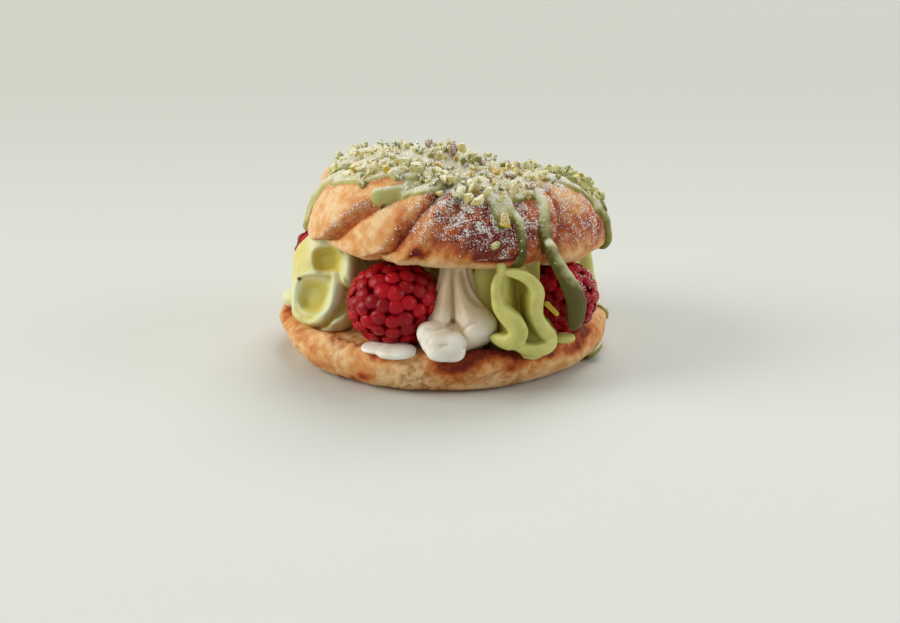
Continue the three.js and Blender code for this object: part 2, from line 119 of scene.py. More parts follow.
def round_ends(share, flatness, least):
    """How thick a tube is along its length: 1 for most of it, and rounded off at both ends."""
    return np.sqrt(np.clip(1 - (2 * share - 1) ** flatness, least, 1))


# %% [markdown]
# ## Tools for meshes
# Most pieces start as a grid of points that closes on itself, either as a ring or as a tube with
# a cap at each end. Each helper gives points and faces, so that meshes can be joined as lists.

# %% Grids, rings and tubes
def grid_faces(columns, rows, closed_rows):
    """Faces of a grid whose last column meets its first."""
    i, j = np.meshgrid(np.arange(columns), np.arange(rows if closed_rows else rows - 1), indexing="ij")
    at = lambda a, b: (a % columns) * rows + b % rows
    return np.stack([at(i, j), at(i + 1, j), at(i + 1, j + 1), at(i, j + 1)], -1).reshape(-1, 4).tolist()


def ring_mesh(points):
    """Points[column, row] of a ring whose section closes on itself."""
    columns, rows = points.shape[:2]
    return points.reshape(-1, 3), grid_faces(columns, rows, True)


def tube_mesh(points, start, end):
    """Points[column, row] of a tube, with a point at each end."""
    columns, rows = points.shape[:2]
    count = columns * rows
    faces = grid_faces(columns, rows, False)
    for i in range(columns):
        here, following = i * rows, (i + 1) % columns * rows
        faces.append([count, following, here])
        faces.append([count + 1, here + rows - 1, following + rows - 1])
    return np.vstack([points.reshape(-1, 3), start, end]), faces


def join(meshes):
    """One list of points and one of faces from several."""
    points, faces, count = [], [], 0
    for some_points, some_faces in meshes:
        points.append(some_points)
        faces += [[corner + count for corner in face] for face in some_faces]
        count += len(some_points)
    return np.vstack(points), faces


def taken_from(made):
    """The points and faces of a bmesh, which is then freed."""
    made.verts.index_update()
    points = np.array([v.co[:] for v in made.verts])
    faces = [[v.index for v in f.verts] for f in made.faces]
    made.free()
    return points, faces


# %% [markdown]
# A mesh becomes a Blender object only when its shape is nearly done. After that we move its
# points along their normals, and store numbers on them that the material reads later.

# %% Pieces
def add_object(name, data):
    """A new object in the scene."""
    made = bpy.data.objects.new(name, data)
    bpy.context.scene.collection.objects.link(made)
    return made


def add_piece(name, mesh):
    """A Blender object from points in millimetres."""
    points, faces = mesh
    data = bpy.data.meshes.new(name)
    data.from_pydata(((points + SHIFT) * MM).tolist(), [], faces)
    data.shade_smooth()
    return add_object(name, data)


def triples(items, field):
    """Three numbers of every item, as rows."""
    flat = np.empty(len(items) * 3, np.float32)
    items.foreach_get(field, flat)
    return flat.reshape(-1, 3)


def points_of(piece):
    return triples(piece.data.vertices, "co") / MM - SHIFT


def normals_of(piece):
    return triples(piece.data.vertex_normals, "vector")


def move_points(piece, points):
    piece.data.vertices.foreach_set("co", ((points + SHIFT) * MM).astype(np.float32).ravel())
    piece.data.update()


def raise_skin(piece, heights):
    """Moves each point out of the surface by its height."""
    move_points(piece, points_of(piece) + normals_of(piece) * heights[:, None])


def mark(piece, name, numbers):
    """Stores a number for each point, which the material reads by its name."""
    layer = piece.data.attributes.new(name, "FLOAT", "POINT")
    layer.data.foreach_set("value", np.asarray(numbers, np.float32))


# %% [markdown]
# A voxel remesh melts overlapping shapes into one skin, which is just what cream and glaze do. A
# few rounds of smoothing then take the steps of the voxels away.

# %% Melting
def melt(piece, voxel, rounds):
    """Fuses what overlaps into one skin, and softens it."""
    remesh = piece.modifiers.new("melt", "REMESH")
    remesh.mode = "VOXEL"
    remesh.voxel_size = voxel * MM
    remesh.use_smooth_shade = True
    soften = piece.modifiers.new("soften", "SMOOTH")
    soften.factor = 0.5
    soften.iterations = rounds
    view = bpy.context.evaluated_depsgraph_get()
    data = bpy.data.meshes.new_from_object(piece.evaluated_get(view))
    piece.modifiers.clear()
    piece.data = data
    data.shade_smooth()
    return piece


# %% [markdown]
# ## Tools for materials
# Each finish is a small network of nodes. These helpers wire the steps that repeat: a noise
# pattern, a soft threshold, and a mix of two colours. Colours are written as they look on screen
# and turned into the linear numbers that the shader works with.

# %% Node helpers
def paint(text):
    """A colour such as c98a4b, as the shader's linear numbers."""
    shades = [int(text[i : i + 2], 16) / 255 for i in (0, 2, 4)]
    return (*[s / 12.92 if s <= 0.04045 else ((s + 0.055) / 1.055) ** 2.4 for s in shades], 1)


class Finish:
    """A material and the nodes in it."""

    def __init__(self, name, roughness, **settings):
        self.material = bpy.data.materials.new(name)
        self.material.use_nodes = True
        self.tree = self.material.node_tree
        self.shader = self.tree.nodes["Principled BSDF"]
        self.set("Roughness", roughness)
        for socket, value in settings.items():
            self.set(socket.replace("_", " "), value)

    def feed(self, socket, value):
        """Gives a socket a number, or the output of another node."""
        if isinstance(value, bpy.types.NodeSocket):
            self.tree.links.new(value, socket)
        else:
            socket.default_value = value

    def set(self, socket, value):
        self.feed(self.shader.inputs[socket], value)

    def node(self, kind, inputs=(), **settings):
        made = self.tree.nodes.new(kind)
        for key, value in settings.items():
            setattr(made, key, value)
        for place, value in dict(inputs).items():
            self.feed(made.inputs[place], value)
        return made

    def mark(self, name):
        """The numbers stored on the points under that name."""
        return self.node("ShaderNodeAttribute", attribute_name=name).outputs["Fac"]

    def pattern(self, kind, size, **inputs):
        """A texture node whose lumps are that many millimetres apart."""
        where = self.node("ShaderNodeTexCoord").outputs["Object"]
        return self.node(kind, {"Vector": where, "Scale": 1 / (size * MM), **inputs})

    def noise(self, size, detail=3):
        """Uneven numbers from 0 to 1."""
        return self.pattern("ShaderNodeTexNoise", size, Detail=detail).outputs["Fac"]

    def cells(self, size):
        """Distance to the nearest of many scattered points."""
        return self.pattern("ShaderNodeTexVoronoi", size).outputs["Distance"]

    def upward(self):
        """How much the surface faces up: 1 on top and -1 underneath."""
        facing = self.node("ShaderNodeNewGeometry").outputs["Normal"]
        return self.node("ShaderNodeSeparateXYZ", {0: facing}).outputs["Z"]

    def step(self, value, low, high, to_low=0, to_high=1):
        """Maps low to high onto to_low to to_high, with soft ends."""
        inputs = {0: value, 1: low, 2: high, 3: to_low, 4: to_high}
        return self.node("ShaderNodeMapRange", inputs, interpolation_type="SMOOTHSTEP").outputs[0]

    def math(self, how, a, b):
        return self.node("ShaderNodeMath", {0: a, 1: b}, operation=how).outputs[0]

    def times(self, first, *others):
        """The product of several values."""
        for other in others:
            first = self.math("MULTIPLY", first, other)
        return first

    def mix(self, share, below, above):
        """Below where the share is 0, above where it is 1. Both are colours."""
        below, above = (paint(c) if isinstance(c, str) else c for c in (below, above))
        return self.node("ShaderNodeMix", {0: share, 6: below, 7: above}, data_type="RGBA").outputs[2]

    def glow(self, weight, *reach):
        """Lets light soak in: how much, and how many millimetres red, green and blue travel."""
        self.set("Subsurface Weight", weight)
        self.set("Subsurface Radius", tuple(depth * MM for depth in reach))

    def bump(self, *layers):
        """Fine relief: pairs of a pattern and its height in millimetres."""
        normal = None
        for pattern, height in layers:
            inputs = {"Height": pattern, "Distance": height * MM}
            if normal:
                inputs["Normal"] = normal
            normal = self.node("ShaderNodeBump", inputs).outputs[0]
        self.set("Normal", normal)


def dress(material, *pieces):
    """Gives pieces one material, in place of any that they had."""
    for piece in pieces:
        piece.data.materials.clear()
        piece.data.materials.append(material)
    print(material.name, "on", [piece.name for piece in pieces])


# %% [markdown]
# ## The lower ring
# The lower half of the ring is a shallow bowl of choux with a lumpy, wrinkled edge. Its section is
# a rounded box, drawn with powers of sine and cosine, and bells push bumps and dents into the
# edge. A place on the ring is an angle round it (-90 is the front) and a turn round its section
# (0 faces out, 90 faces up).

# %% Shape of the lower ring
BASE_RADIUS, BASE_HOLE, BASE_HEIGHT, BASE_FOOT = 39.4, 9.5, 10, 37.2
# Each bump or dent: angle, height, half width in degrees, half height, how far it stands out.
BASE_BUMPS = [
    [-176, 7.6, 15, 2.6, 1.1],
    [-170, 2.6, 20, 2.2, -2.2],
    [-148, 4.6, 9, 3, 0.6],
    [-128, 4, 7, 4, -0.5],
    [-104, 5.5, 12, 3, 0.5],
    [-70, 6.5, 16, 2.4, 0.7],
    [-66, 2.5, 20, 2, -0.4],
    [-34, 7, 12, 2, -0.5],
    [-14, 3.4, 16, 3, 1.1],
    [40, 6, 14, 2.6, 0.7],
    [75, 3, 12, 3, -0.6],
    [120, 6, 16, 2.6, 0.6],
]


def base_point(angle, turn):
    """A point of the lower ring."""
    angle, turn = np.broadcast_arrays(np.asarray(angle, float), np.asarray(turn, float))
    a, c, s = angle * DEG, np.cos(turn * DEG), np.sin(turn * DEG)
    rim = BASE_RADIUS + 0.5 * np.sin(2 * a + 1.1) + 0.4 * np.sin(5 * a + 0.4) + 0.25 * np.sin(9 * a)
    hole = BASE_HOLE + 0.4 * np.sin(3 * a + 2)
    half = (rim - hole) / 2
    wave = 0.35 * np.sin(3 * a) + 0.25 * np.sin(7 * a + 1)
    tall = BASE_HEIGHT * (0.5 + 0.56 * power(s, 0.6))
    low = 1 - np.clip(tall / (0.75 * BASE_HEIGHT), 0, 1)
    outside = c > 0
    r = hole + half + half * power(c, 0.5)
    r -= np.where(outside, (rim - BASE_FOOT) * low**1.6 * np.abs(c) ** 0.2, -3 * low**2)
    r += outside * c * soft_patches(BASE_BUMPS, angle, tall)
    z = np.clip(tall, 0, BASE_HEIGHT + wave) - 1.1 * smooth(s, 0.6, 0.98)
    return np.stack([r * np.cos(a), r * np.sin(a), np.maximum(z, 0)], -1)


# %% [markdown]
# Equal steps of the turn would crowd the points where the section bends. We measure the section's
# length instead and space the points evenly along it, so the faces come out nearly square.

# %% Mesh of the lower ring
BASE_COLUMNS, BASE_ROWS = 550, 98


def even_turns(point_at, count):
    """Turns that stand evenly spaced along the section of a ring."""
    turns = np.linspace(-180, 180, 3000)
    section = point_at(-90.0, turns)
    walked = np.concatenate([[0], np.cumsum(np.linalg.norm(np.diff(section, axis=0), axis=1))])
    return np.interp(np.linspace(0, walked[-1], count, endpoint=False), walked, turns)


base_angles = np.linspace(-180, 180, BASE_COLUMNS, endpoint=False)
base_turns = even_turns(base_point, BASE_ROWS)
choux_base = add_piece("choux_base_baked", ring_mesh(base_point(base_angles[:, None], base_turns)))
print("lower ring:", len(choux_base.data.polygons), "faces")

# %% [markdown]
# Baked choux has a skin that wrinkled as the steam left it. Three sizes of noise make its lumps,
# its wrinkles and its pores. The cut face is torn crumb, so it gets deeper pits instead. Cracks
# run along the rim, the deepest in front on the left, and the lip stands higher in two places.

# %% Wrinkles, pores, cracks and lip
CRACKS = [  # angle of each end, height, depth and half width
    [-138, -112, 9.7, 0.9, 0.45],
    [-160, -146, 6.2, 0.5, 0.4],
    [-52, -30, 7.6, 0.5, 0.5],
    [-88, -64, 3.1, 0.4, 0.4],
    [20, 52, 6.8, 0.5, 0.45],
    [96, 130, 7.4, 0.5, 0.45],
]
LIP = [[-133, 36.6, 19, 2.4, 1.7], [-76, 36.6, 8, 2.4, 1.3]]  # angle, radius, half sizes, height


def wrinkle(points, outward):
    """Relief of a choux crust. Outward is 1 on the crust and 0 on the cut face."""
    crust = 0.34 * clouds(points, 7) + 0.16 * clouds(points * [1, 1, 1.7], 2.6) + 0.05 * clouds(points, 0.9)
    crumb = -0.5 * np.abs(clouds(points, 2.2)) + 0.12 * clouds(points, 0.8)
    return crust * outward + crumb * (1 - outward)


points = points_of(choux_base)
radius, angle = np.hypot(points[:, 0], points[:, 1]), np.degrees(np.arctan2(points[:, 1], points[:, 0]))
on_side = smooth(radius, 29.5, 32)
heights = wrinkle(points, on_side)
folds = np.abs(clouds(points * [1, 1, 2.2], 4.2))
heights += on_side * 0.55 * (smooth(folds, 0.02, 0.16) - 1) * smooth(clouds(points, 14), -0.25, 0.25)
for first, last, height, depth, wide in CRACKS:
    middle, half = (first + last) / 2, (last - first) / 2
    wander = 0.5 * np.sin(angle * 0.35) + 0.25 * np.sin(angle * 1.3)
    inside = smooth(half - np.abs(around(angle, middle)), 0, 4)
    heights -= on_side * depth * inside * bell(points[:, 2] - height - wander, wide)
heights *= smooth(points[:, 2], 0.02, 1.2)
raise_skin(choux_base, heights)
lip = soft_patches(LIP, angle, radius) * smooth(points[:, 2], 5, 9.4)
move_points(choux_base, points_of(choux_base) + lip[:, None] * [0, 0, 1])
print("relief of the lower ring:", heights.min().round(2), "to", heights.max().round(2), "mm")

# %% [markdown]
# Where the crust was nearest the heat it is red brown, and near the tray it stays gold. We store how
# well done each point is, so that the material can mix its colours, and how deep each dent of its
# wrinkles and cracks is, so that the material paints shade there.

# %% Browning of the lower ring
# Each browned patch: angle, height, half width in degrees, half height, strength.
BASE_BROWN = [
    [-176, 9.5, 14, 2.0, 0.4],
    [-150, 8.6, 6, 1.4, 0.3],
    [-140, 10.8, 6, 0.6, 0.6],
    [-131, 0.6, 3, 0.8, 0.9],
    [-124, 1.6, 3, 0.9, 0.6],
    [-124, 11.4, 8, 0.7, 0.7],
    [-119, 3.3, 4, 1.3, 0.6],
    [-113, 9.2, 6, 1.3, 0.5],
    [-104, 4.4, 12, 3, -0.18],
    [-100, 0.2, 26, 0.6, 0.3],
    [-86, 7.4, 7, 2, 1],
    [-77, 10.4, 11, 2, 1.3],
    [-66, 6.4, 4, 1.3, 0.6],
    [-60, 9.8, 12, 1.5, 0.9],
    [-55, 3.8, 10, 2.4, -0.16],
    [-50, 7.8, 7, 1.3, 0.7],
    [-36, 6.6, 7, 1.5, 0.75],
    [-28, 8.6, 8, 1.4, 0.85],
    [30, 8.4, 16, 1.8, 0.7],
    [64, 6, 10, 2.2, 0.6],
    [104, 8.6, 16, 1.8, 0.7],
    [150, 5, 12, 2.4, 0.6],
]
brown = 0.24 + 0.24 * clouds(points, 9) + 0.1 * clouds(points, 3)
brown += soft_patches(BASE_BROWN, angle, points[:, 2])
brown -= 0.1 * (1 - smooth(points[:, 2], 0, 3.5))
mark(choux_base, "brown", np.clip(brown, 0, 1.3))
mark(choux_base, "crumb", 1 - smooth(radius, 26, 29))
# Painted shade: the deeper a dent, the darker the crust in it.
mark(choux_base, "painted_dent_shade", np.clip(-heights * 1.6, 0, 1))
mark(choux_base, "dust", np.zeros(len(points)))
print("lower ring is browned to", brown.mean().round(2), "on average")

# %% [markdown]
# ## The upper ring
# The upper half was piped with a star nozzle that turned as it went round, so ridges sweep from
# the rim up to the crest. Each ridge starts at a crease and rolls over to the next one. A row for
# each ridge is enough, because everything between two creases follows from their places.

# %% Ridges
# Each ridge: angle of its crease at the rim and at the crest, place of its top, height, roundness.
RIDGES = np.array([
    [-206, -160, 0.92, 2.6, 1.0],
    [-156, -99, 0.84, 1.8, 1.4],
    [-121, -92, 0.6, 1.5, 1.5],
    [-106, -84, 0.45, 0.9, 1.6],
    [-84, -54, 0.5, 1.2, 1.6],
    [-51, -38, 0.5, 1.9, 2],
    [-22, -6, 0.45, 1.7, 1.8],
    [6, 28, 0.5, 1.8, 1.8],
    [34, 56, 0.5, 1.6, 1.8],
    [60, 84, 0.5, 1.8, 1.8],
    [88, 114, 0.45, 1.7, 1.6],
    [112, 146, 0.5, 1.7, 1.8],
    [134, 176, 0.5, 1.6, 1.8],
])
FOLLOWING = np.vstack([RIDGES[1:], RIDGES[:1] + [360, 360, 0, 0, 0]])
CREASE = 1  # how far the creases lie inside the plain ring
GROOVE = 0.5  # and how much deeper their bottoms are
PLAIN_RIDGE = 1.7  # height of a ridge whose creases are that deep


def crease_climb(turn):
    """How far up a crease has come at a turn: 0 at the rim and 1 at the crest."""
    return np.clip((turn + 20) / 110, 0, 1) ** 0.8


def crease_angle(ridges, climb):
    """The angle of each ridge's crease, that far up."""
    return ridges[..., 0] + (ridges[..., 1] - ridges[..., 0]) * climb


# %% [markdown]
# Every place on the ring lies between two creases. We find which two, and how far it is from one
# to the other, and that gives the height of the ridge there.

# %% Height of the ridges
def ridge_at(angle, turn):
    """The ridge at a place: its number and how much of its width is behind us."""
    climb = crease_climb(turn)[..., None]
    creases, nexts = crease_angle(RIDGES, climb), crease_angle(FOLLOWING, climb)
    a = creases[..., 0] + (angle - creases[..., 0]) % 360
    k = (creases <= a[..., None]).sum(-1) - 1
    start = np.take_along_axis(creases, k[..., None], -1)[..., 0]
    end = np.take_along_axis(nexts, k[..., None], -1)[..., 0]
    return k, (a - start) / (end - start)


def crease_depth(number, share):
    """How deep the nearest crease is: 1 beside a plain ridge, and less beside a lower one."""
    return np.where(share < 0.5, RIDGES[number, 3], FOLLOWING[number, 3]) / PLAIN_RIDGE


def ridge_height(angle, turn):
    """How far the ridges stand out of the plain ring."""
    k, share = ridge_at(angle, turn)
    top, height, roundness = RIDGES[k, 2], RIDGES[k, 3], RIDGES[k, 4]
    climb = np.clip(np.where(share < top, share / top, (1 - share) / (1 - top)), 0, 1)
    groove = GROOVE * bell(np.minimum(share, 1 - share), 0.07) * crease_depth(k, share)
    rise = height * (1 - (1 - climb) ** roundness)
    return rise - CREASE * crease_depth(k, share) ** 0.7 - groove


print("ridges:", len(RIDGES))

# %% [markdown]
# The ring under the ridges has a taller section than the lower one, with a soft crest that sags
# in three places. It then leans a little, down to the right and to the back. The glaze needs the
# same surface, so the point function can also lift its points by the glaze's thickness.

# %% Shape of the upper ring
LID_RADIUS, LID_HOLE, LID_HEIGHT, LID_WAIST, LID_ROUND = 35.8, 8.5, 18.6, 4, 0.92
LID_PLACE, LID_LEAN, LID_PITCH = np.array([2.8, 0.4, 26.1]), 2.9, 4.5
LID_TURN = np.array(Matrix.Rotation(-LID_PITCH * DEG, 3, "X") @ Matrix.Rotation(LID_LEAN * DEG, 3, "Y"))
RIDGED_TURNS = (-90, 170)  # beyond these, the ridges go straight on
GLAZE = 0.9  # thickness


def glaze_share(angle, turn):
    """1 on the crest, where the glaze lies, and 0 below its wavy edge."""
    a = angle * DEG
    edge = 60 + 7 * np.sin(5 * a + 0.6) + 5 * np.sin(9 * a) + 16 * bell(around(angle, -36), 22)
    return smooth(turn, edge - 8, edge + 8) * (1 - smooth(turn, 122, 146))


def lid_point(angle, turn, glaze=0.0, grow=0.0):
    """A point of the upper ring before it leans, with a share of the glaze's thickness on it."""
    angle, turn = np.broadcast_arrays(np.asarray(angle, float), np.asarray(turn, float))
    a, up = angle * DEG, around(turn, 0)
    c, s = np.cos(turn * DEG), np.sin(turn * DEG)
    dip = 3 * bell(around(angle, 62), 24) + 2.2 * bell(around(angle, -60), 9) * smooth(up, 55, 90)
    dip += 2.2 * bell(around(angle, 18), 30)
    crest = LID_HEIGHT + np.cos(a + 140 * DEG) - dip
    rim = LID_RADIUS + 0.5 * np.sin(2 * a + 0.6) + 0.35 * np.sin(3 * a + 2)
    half = (rim - LID_HOLE) / 2
    shown = smooth(up, -60, -20) * (1 - 0.7 * smooth(up, 100, 160))
    out = grow + ridge_height(angle, np.clip(up, *RIDGED_TURNS)) * shown
    out = out + glaze * GLAZE * glaze_share(angle, up)
    r = LID_HOLE + half + half * power(c, LID_ROUND) + out * c
    rise = np.where(s > 0, crest - LID_WAIST, 1.3 * LID_WAIST)
    cut = 1.4 * np.cos(a) ** 2 + 0.3 * np.sin(3 * a + 1)
    z = np.maximum(LID_WAIST + rise * power(s, LID_ROUND) + out * s, cut)
    return np.stack([r * np.cos(a), r * np.sin(a), z], -1)


def lean(points):
    """Puts a point of the upper ring where it really is."""
    return points @ LID_TURN.T + LID_PLACE


# %% [markdown]
# The columns of this grid run along the creases rather than straight up, the same number of them
# for each ridge. So a column lies in the bottom of every crease, and the creases stay sharp.

# %% Mesh of the upper ring
COLUMNS_A_RIDGE, LID_ROWS = 45, 116
lid_turns = even_turns(lid_point, LID_ROWS)
columns = np.arange(COLUMNS_A_RIDGE * len(RIDGES))
number, share = columns // COLUMNS_A_RIDGE, (columns % COLUMNS_A_RIDGE) / COLUMNS_A_RIDGE
climb = crease_climb(np.clip(lid_turns, *RIDGED_TURNS))
first, second = (crease_angle(rows[number][:, None], climb) for rows in (RIDGES, FOLLOWING))
lid_angle = first + (second - first) * share[:, None]
lid_turn = np.broadcast_to(lid_turns, lid_angle.shape)
choux_lid = add_piece("choux_lid_baked", ring_mesh(lean(lid_point(lid_angle, lid_turn))))
print("upper ring:", len(choux_lid.data.polygons), "faces")

# %% [markdown]
# The lid's skin is smoother than the lower ring's. It puffed up and stretched, and only soft lumps
# and fine pores are left. In front it has four pits, and a low fold that climbs across a ridge.

# %% Skin of the upper ring
# Each pit: angle, turn, half width and half height in degrees, depth.
PITS = [[-105, -6, 2.2, 11, 0.9], [-97.5, 31, 1.5, 8, 0.7], [-48, 30, 2, 7, 0.5], [-40, 10, 2.2, 8, 0.45]]
FOLD_START, FOLD_END = -86, -64  # angles
FOLD_LOW, FOLD_CLIMB, FOLD_DEPTH = -28, 26, 0.7  # turn at its start, degrees it climbs, millimetres
angle, turn = lid_angle.ravel(), around(lid_turn.ravel(), 0)
points = points_of(choux_lid)
share = np.broadcast_to(share[:, None], lid_angle.shape).ravel()
number = np.broadcast_to(number[:, None], lid_angle.shape).ravel()
crust = smooth(turn, -55, -38) * (1 - smooth(turn, 150, 175))
heights = 0.3 * clouds(points, 8) + 0.1 * clouds(points, 2.4) + 0.045 * clouds(points, 0.8)
heights = heights * crust + (0.12 * clouds(points, 0.8) - 0.4 * np.abs(clouds(points, 2.2))) * (1 - crust)
pits = soft_patches(PITS, angle, turn)
fold_share = (angle - FOLD_START) / (FOLD_END - FOLD_START)
above_fold = turn - (FOLD_CLIMB * fold_share + FOLD_LOW)
fold = smooth(fold_share, 0, 0.2) * (1 - smooth(fold_share, 0.8, 1))
raise_skin(choux_lid, heights - pits - FOLD_DEPTH * fold * bell(above_fold, 4.5))
print("pits:", len(PITS), "deepest", pits.max().round(2), "mm")

# %% [markdown]
# The lid is brownest in front, where it faced the back of the oven. Its creases, pits and fold are
# painted a darker brown, as shade. Two more marks tell the material where the torn crumb shows and
# where painted shade darkens the dents and creases.

# %% Browning of the upper ring
# Each browned patch: angle, turn, half width and half height in degrees, strength.
LID_BROWN = [
    [-84, 56, 18, 30, 0.7],
    [-82, 12, 16, 20, 0.95],
    [-62, 26, 12, 36, 0.6],
    [-72, -14, 18, 12, 0.5],
    [-104, -6, 3, 12, 0.7],
    [-112, 18, 4, 36, 0.34],
    [-122, 2, 22, 24, 0.13],
    [-128, 62, 12, 10, 0.2],
    [-44, 50, 8, 26, 0.25],
    [-34, 18, 10, 14, 0.3],
    [-22, 40, 9, 20, 0.35],
    [-26, 18, 22, 36, 0.16],
    [-98, 74, 10, 16, 0.35],
    [-10, 8, 14, 16, 0.35],
    [24, 46, 16, 26, 0.5],
    [58, 40, 18, 26, 0.5],
    [96, 44, 18, 26, 0.55],
    [136, 40, 16, 24, 0.35],
]
# Painted shade: the crust is browned darker near the creases.
crease_shade = bell(np.minimum(share, 1 - share) * 9, 1.0) * np.minimum(crease_depth(number, share), 1) ** 2
brown = 0.17 + 0.26 * clouds(points, 10) + 0.1 * clouds(points, 3) + 0.36 * crease_shade
# Painted shade: the pits and the fold are browned darker too.
brown += 0.6 * pits + 0.3 * fold * bell(above_fold, 6) + soft_patches(LID_BROWN, angle, turn)
brown -= 0.3 * (1 - smooth(turn, -45, -8))
mark(choux_lid, "brown", np.clip(brown, 0, 1.3) * crust)
mark(choux_lid, "crumb", 1 - crust)
# Painted shade in the creases and in the low places of the skin.
mark(choux_lid, "painted_dent_shade", np.clip(crease_shade * 0.6 - heights, 0, 1))
print("upper ring is browned to", brown.mean().round(2), "on average")

# %% [markdown]
# Sugar fell from above, so it lies thickest on the crest and on the part of the front that slopes
# back. A little more caught on the tops of two ridges and on the fold.

# %% Dust on the upper ring
def dust_share(angle, turn):
    """How thickly the sugar lies: most on the crest and on the front, right of the middle."""
    crest = 0.7 * smooth(turn, 52, 84) * (1 - smooth(turn, 120, 160))
    front = 1.1 * bell(around(angle, -80), 23) * smooth(turn, -4, 36)
    right = 0.45 * bell(around(angle, -24), 24) * smooth(turn, -16, 20)
    left = 0.14 * bell(around(angle, -150), 22) * smooth(turn, 8, 40)
    bare_ridge = 0.7 * bell(around(angle, -38), 9) * bell(turn - 72, 26)
    return np.clip(crest + front + right + left + bare_ridge + 0.02, 0, 1)


tops_sugar = bell(share - RIDGES[number, 2], 0.035) * smooth(turn, -34, -16) * (1 - smooth(turn, 40, 60))
tops_sugar *= 0.6 * bell(around(angle, -142), 22) + 0.7 * bell(around(angle, -70), 9) * bell(turn + 8, 16)
tops_sugar += 0.5 * fold * bell(above_fold - 9, 4)
dust = np.clip(dust_share(angle, turn) + tops_sugar, 0, 1) * crust
mark(choux_lid, "dust", dust)
print("dust covers", dust.mean().round(2), "of the upper ring")

# %% [markdown]
# ## The crust's finish
# Choux is dull, with a faint sheen where the egg wash dried. Its colour runs from cream through
# gold to red brown, by how well done it is, and it is painted darker in the creases and dents, as
# shade. Pores are tiny pits, made with the cells of a Voronoi pattern. Sugar dust is a fine white
# speckle, thicker where the dust mark says so, and larger grains are real meshes further on.

# %% Crust material
def crust_finish(name):
    finish = Finish(name, 0.6, Specular_IOR_Level=0.26)
    baked = finish.math("ADD", finish.mark("brown"), finish.step(finish.noise(2.2, 6), 0.3, 0.7, -0.16, 0.16))
    colour = finish.mix(finish.step(baked, 0.02, 0.36), "eac492", "da9c5c")
    colour = finish.mix(finish.step(baked, 0.28, 0.76), colour, "b6551c")
    colour = finish.mix(finish.step(baked, 0.66, 1.05), colour, "701c0a")
    # Painted shade in the dents and creases.
    colour = finish.mix(finish.step(finish.mark("painted_dent_shade"), 0.1, 0.8, 0, 0.4), colour, "ad5018")
    freckles = finish.step(finish.cells(1.3), 0.1, 0.2, 0.35, 0)
    colour = finish.mix(freckles, colour, "b06a35")
    crumb = finish.mix(finish.step(finish.noise(1.2, 5), 0.35, 0.65), "e9cf9c", "c99a5c")
    colour = finish.mix(finish.mark("crumb"), colour, crumb)
    grains = finish.step(finish.noise(0.42, 2), 0.53, 0.58)
    clumps = finish.step(finish.noise(1.7, 3), 0.34, 0.6)
    cover = finish.times(clumps, finish.mark("dust"), grains)
    finish.set("Base Color", finish.mix(cover, colour, "f8f3ee"))
    finish.glow(0.06, 2, 1, 0.5)
    pores = finish.step(finish.cells(0.75), 0.05, 0.4)
    finish.bump((finish.noise(1.1, 5), 0.22), (pores, 0.06), (finish.noise(0.3, 3), 0.05), (cover, 0.08))
    return finish.material


dress(crust_finish("baked_crust"), choux_base, choux_lid)

# %% [markdown]
# ## The glaze
# The pistachio glaze was poured over the crest while warm. It ends in a rounded, wavy edge and
# runs down the creases in drips. First comes a thin ring that follows the lid. Its edge wanders
# up and down through a list of places, and its thickness rounds off towards the edge.

# %% Ring of glaze
OUTER_ROWS = 96  # the first rows are the outside, and the others come back under the crust
GLAZE_TURNS = np.concatenate([np.linspace(14, 150, OUTER_ROWS), np.linspace(148, 16, 30)])
GLAZE_COLUMNS = 760
EDGE_WIDTH = 5  # degrees over which the edge is rounded
# The lower edge of the glaze: angle and turn.
GLAZE_EDGE = [
    [-180, 52], [-165, 50], [-150, 45], [-138, 54], [-128, 60], [-119, 68], [-110, 66], [-102, 70],
    [-94, 76], [-86, 72], [-79, 62], [-70, 60], [-60, 66], [-52, 74], [-44, 94], [-36, 98], [-30, 78],
    [-24, 52], [-16, 32], [-6, 24], [6, 34], [18, 54], [34, 60], [50, 48], [66, 62], [84, 66], [100, 52],
    [116, 62], [134, 56], [150, 64], [166, 50],
]


def glaze_edge(angle):
    """The turn at which the glaze starts."""
    places, turns = np.array(GLAZE_EDGE, float).T
    angle = around(angle, 0)
    first = np.searchsorted(places, angle, side="right") - 1
    start, end = places[first], np.append(places, 180)[first + 1]
    step = smooth(angle, start, end)
    edge = turns[first] * (1 - step) + np.append(turns, turns[0])[first + 1] * step
    a = angle * DEG
    return edge + 2.5 * np.sin(17 * a + 1) + 1.6 * np.sin(31 * a)


angles = np.linspace(-180, 180, GLAZE_COLUMNS, endpoint=False)[:, None]
inner = 138 + 6 * np.sin(4 * angles * DEG) + 4 * np.sin(7 * angles * DEG + 2)
inside = np.minimum(GLAZE_TURNS - glaze_edge(angles), inner - GLAZE_TURNS)
rounded = np.clip(inside / EDGE_WIDTH, 0, 1)
rounded = np.sqrt(rounded * (2 - rounded))
height = np.where(inside > 0, GLAZE * (0.25 + 0.75 * rounded), -0.5)
height[:, OUTER_ROWS:] = -0.7
glaze_ring = ring_mesh(lid_point(angles, GLAZE_TURNS, 0, height))
print("ring of glaze:", len(glaze_ring[1]), "faces")

# %% [markdown]
# A drip is a tube that is flat underneath and round on top. Its rows give an angle, a turn, its
# half width and its thickness, from where it starts down to its tip. Because it is drawn on the
# ring's own surface, it follows every ridge.

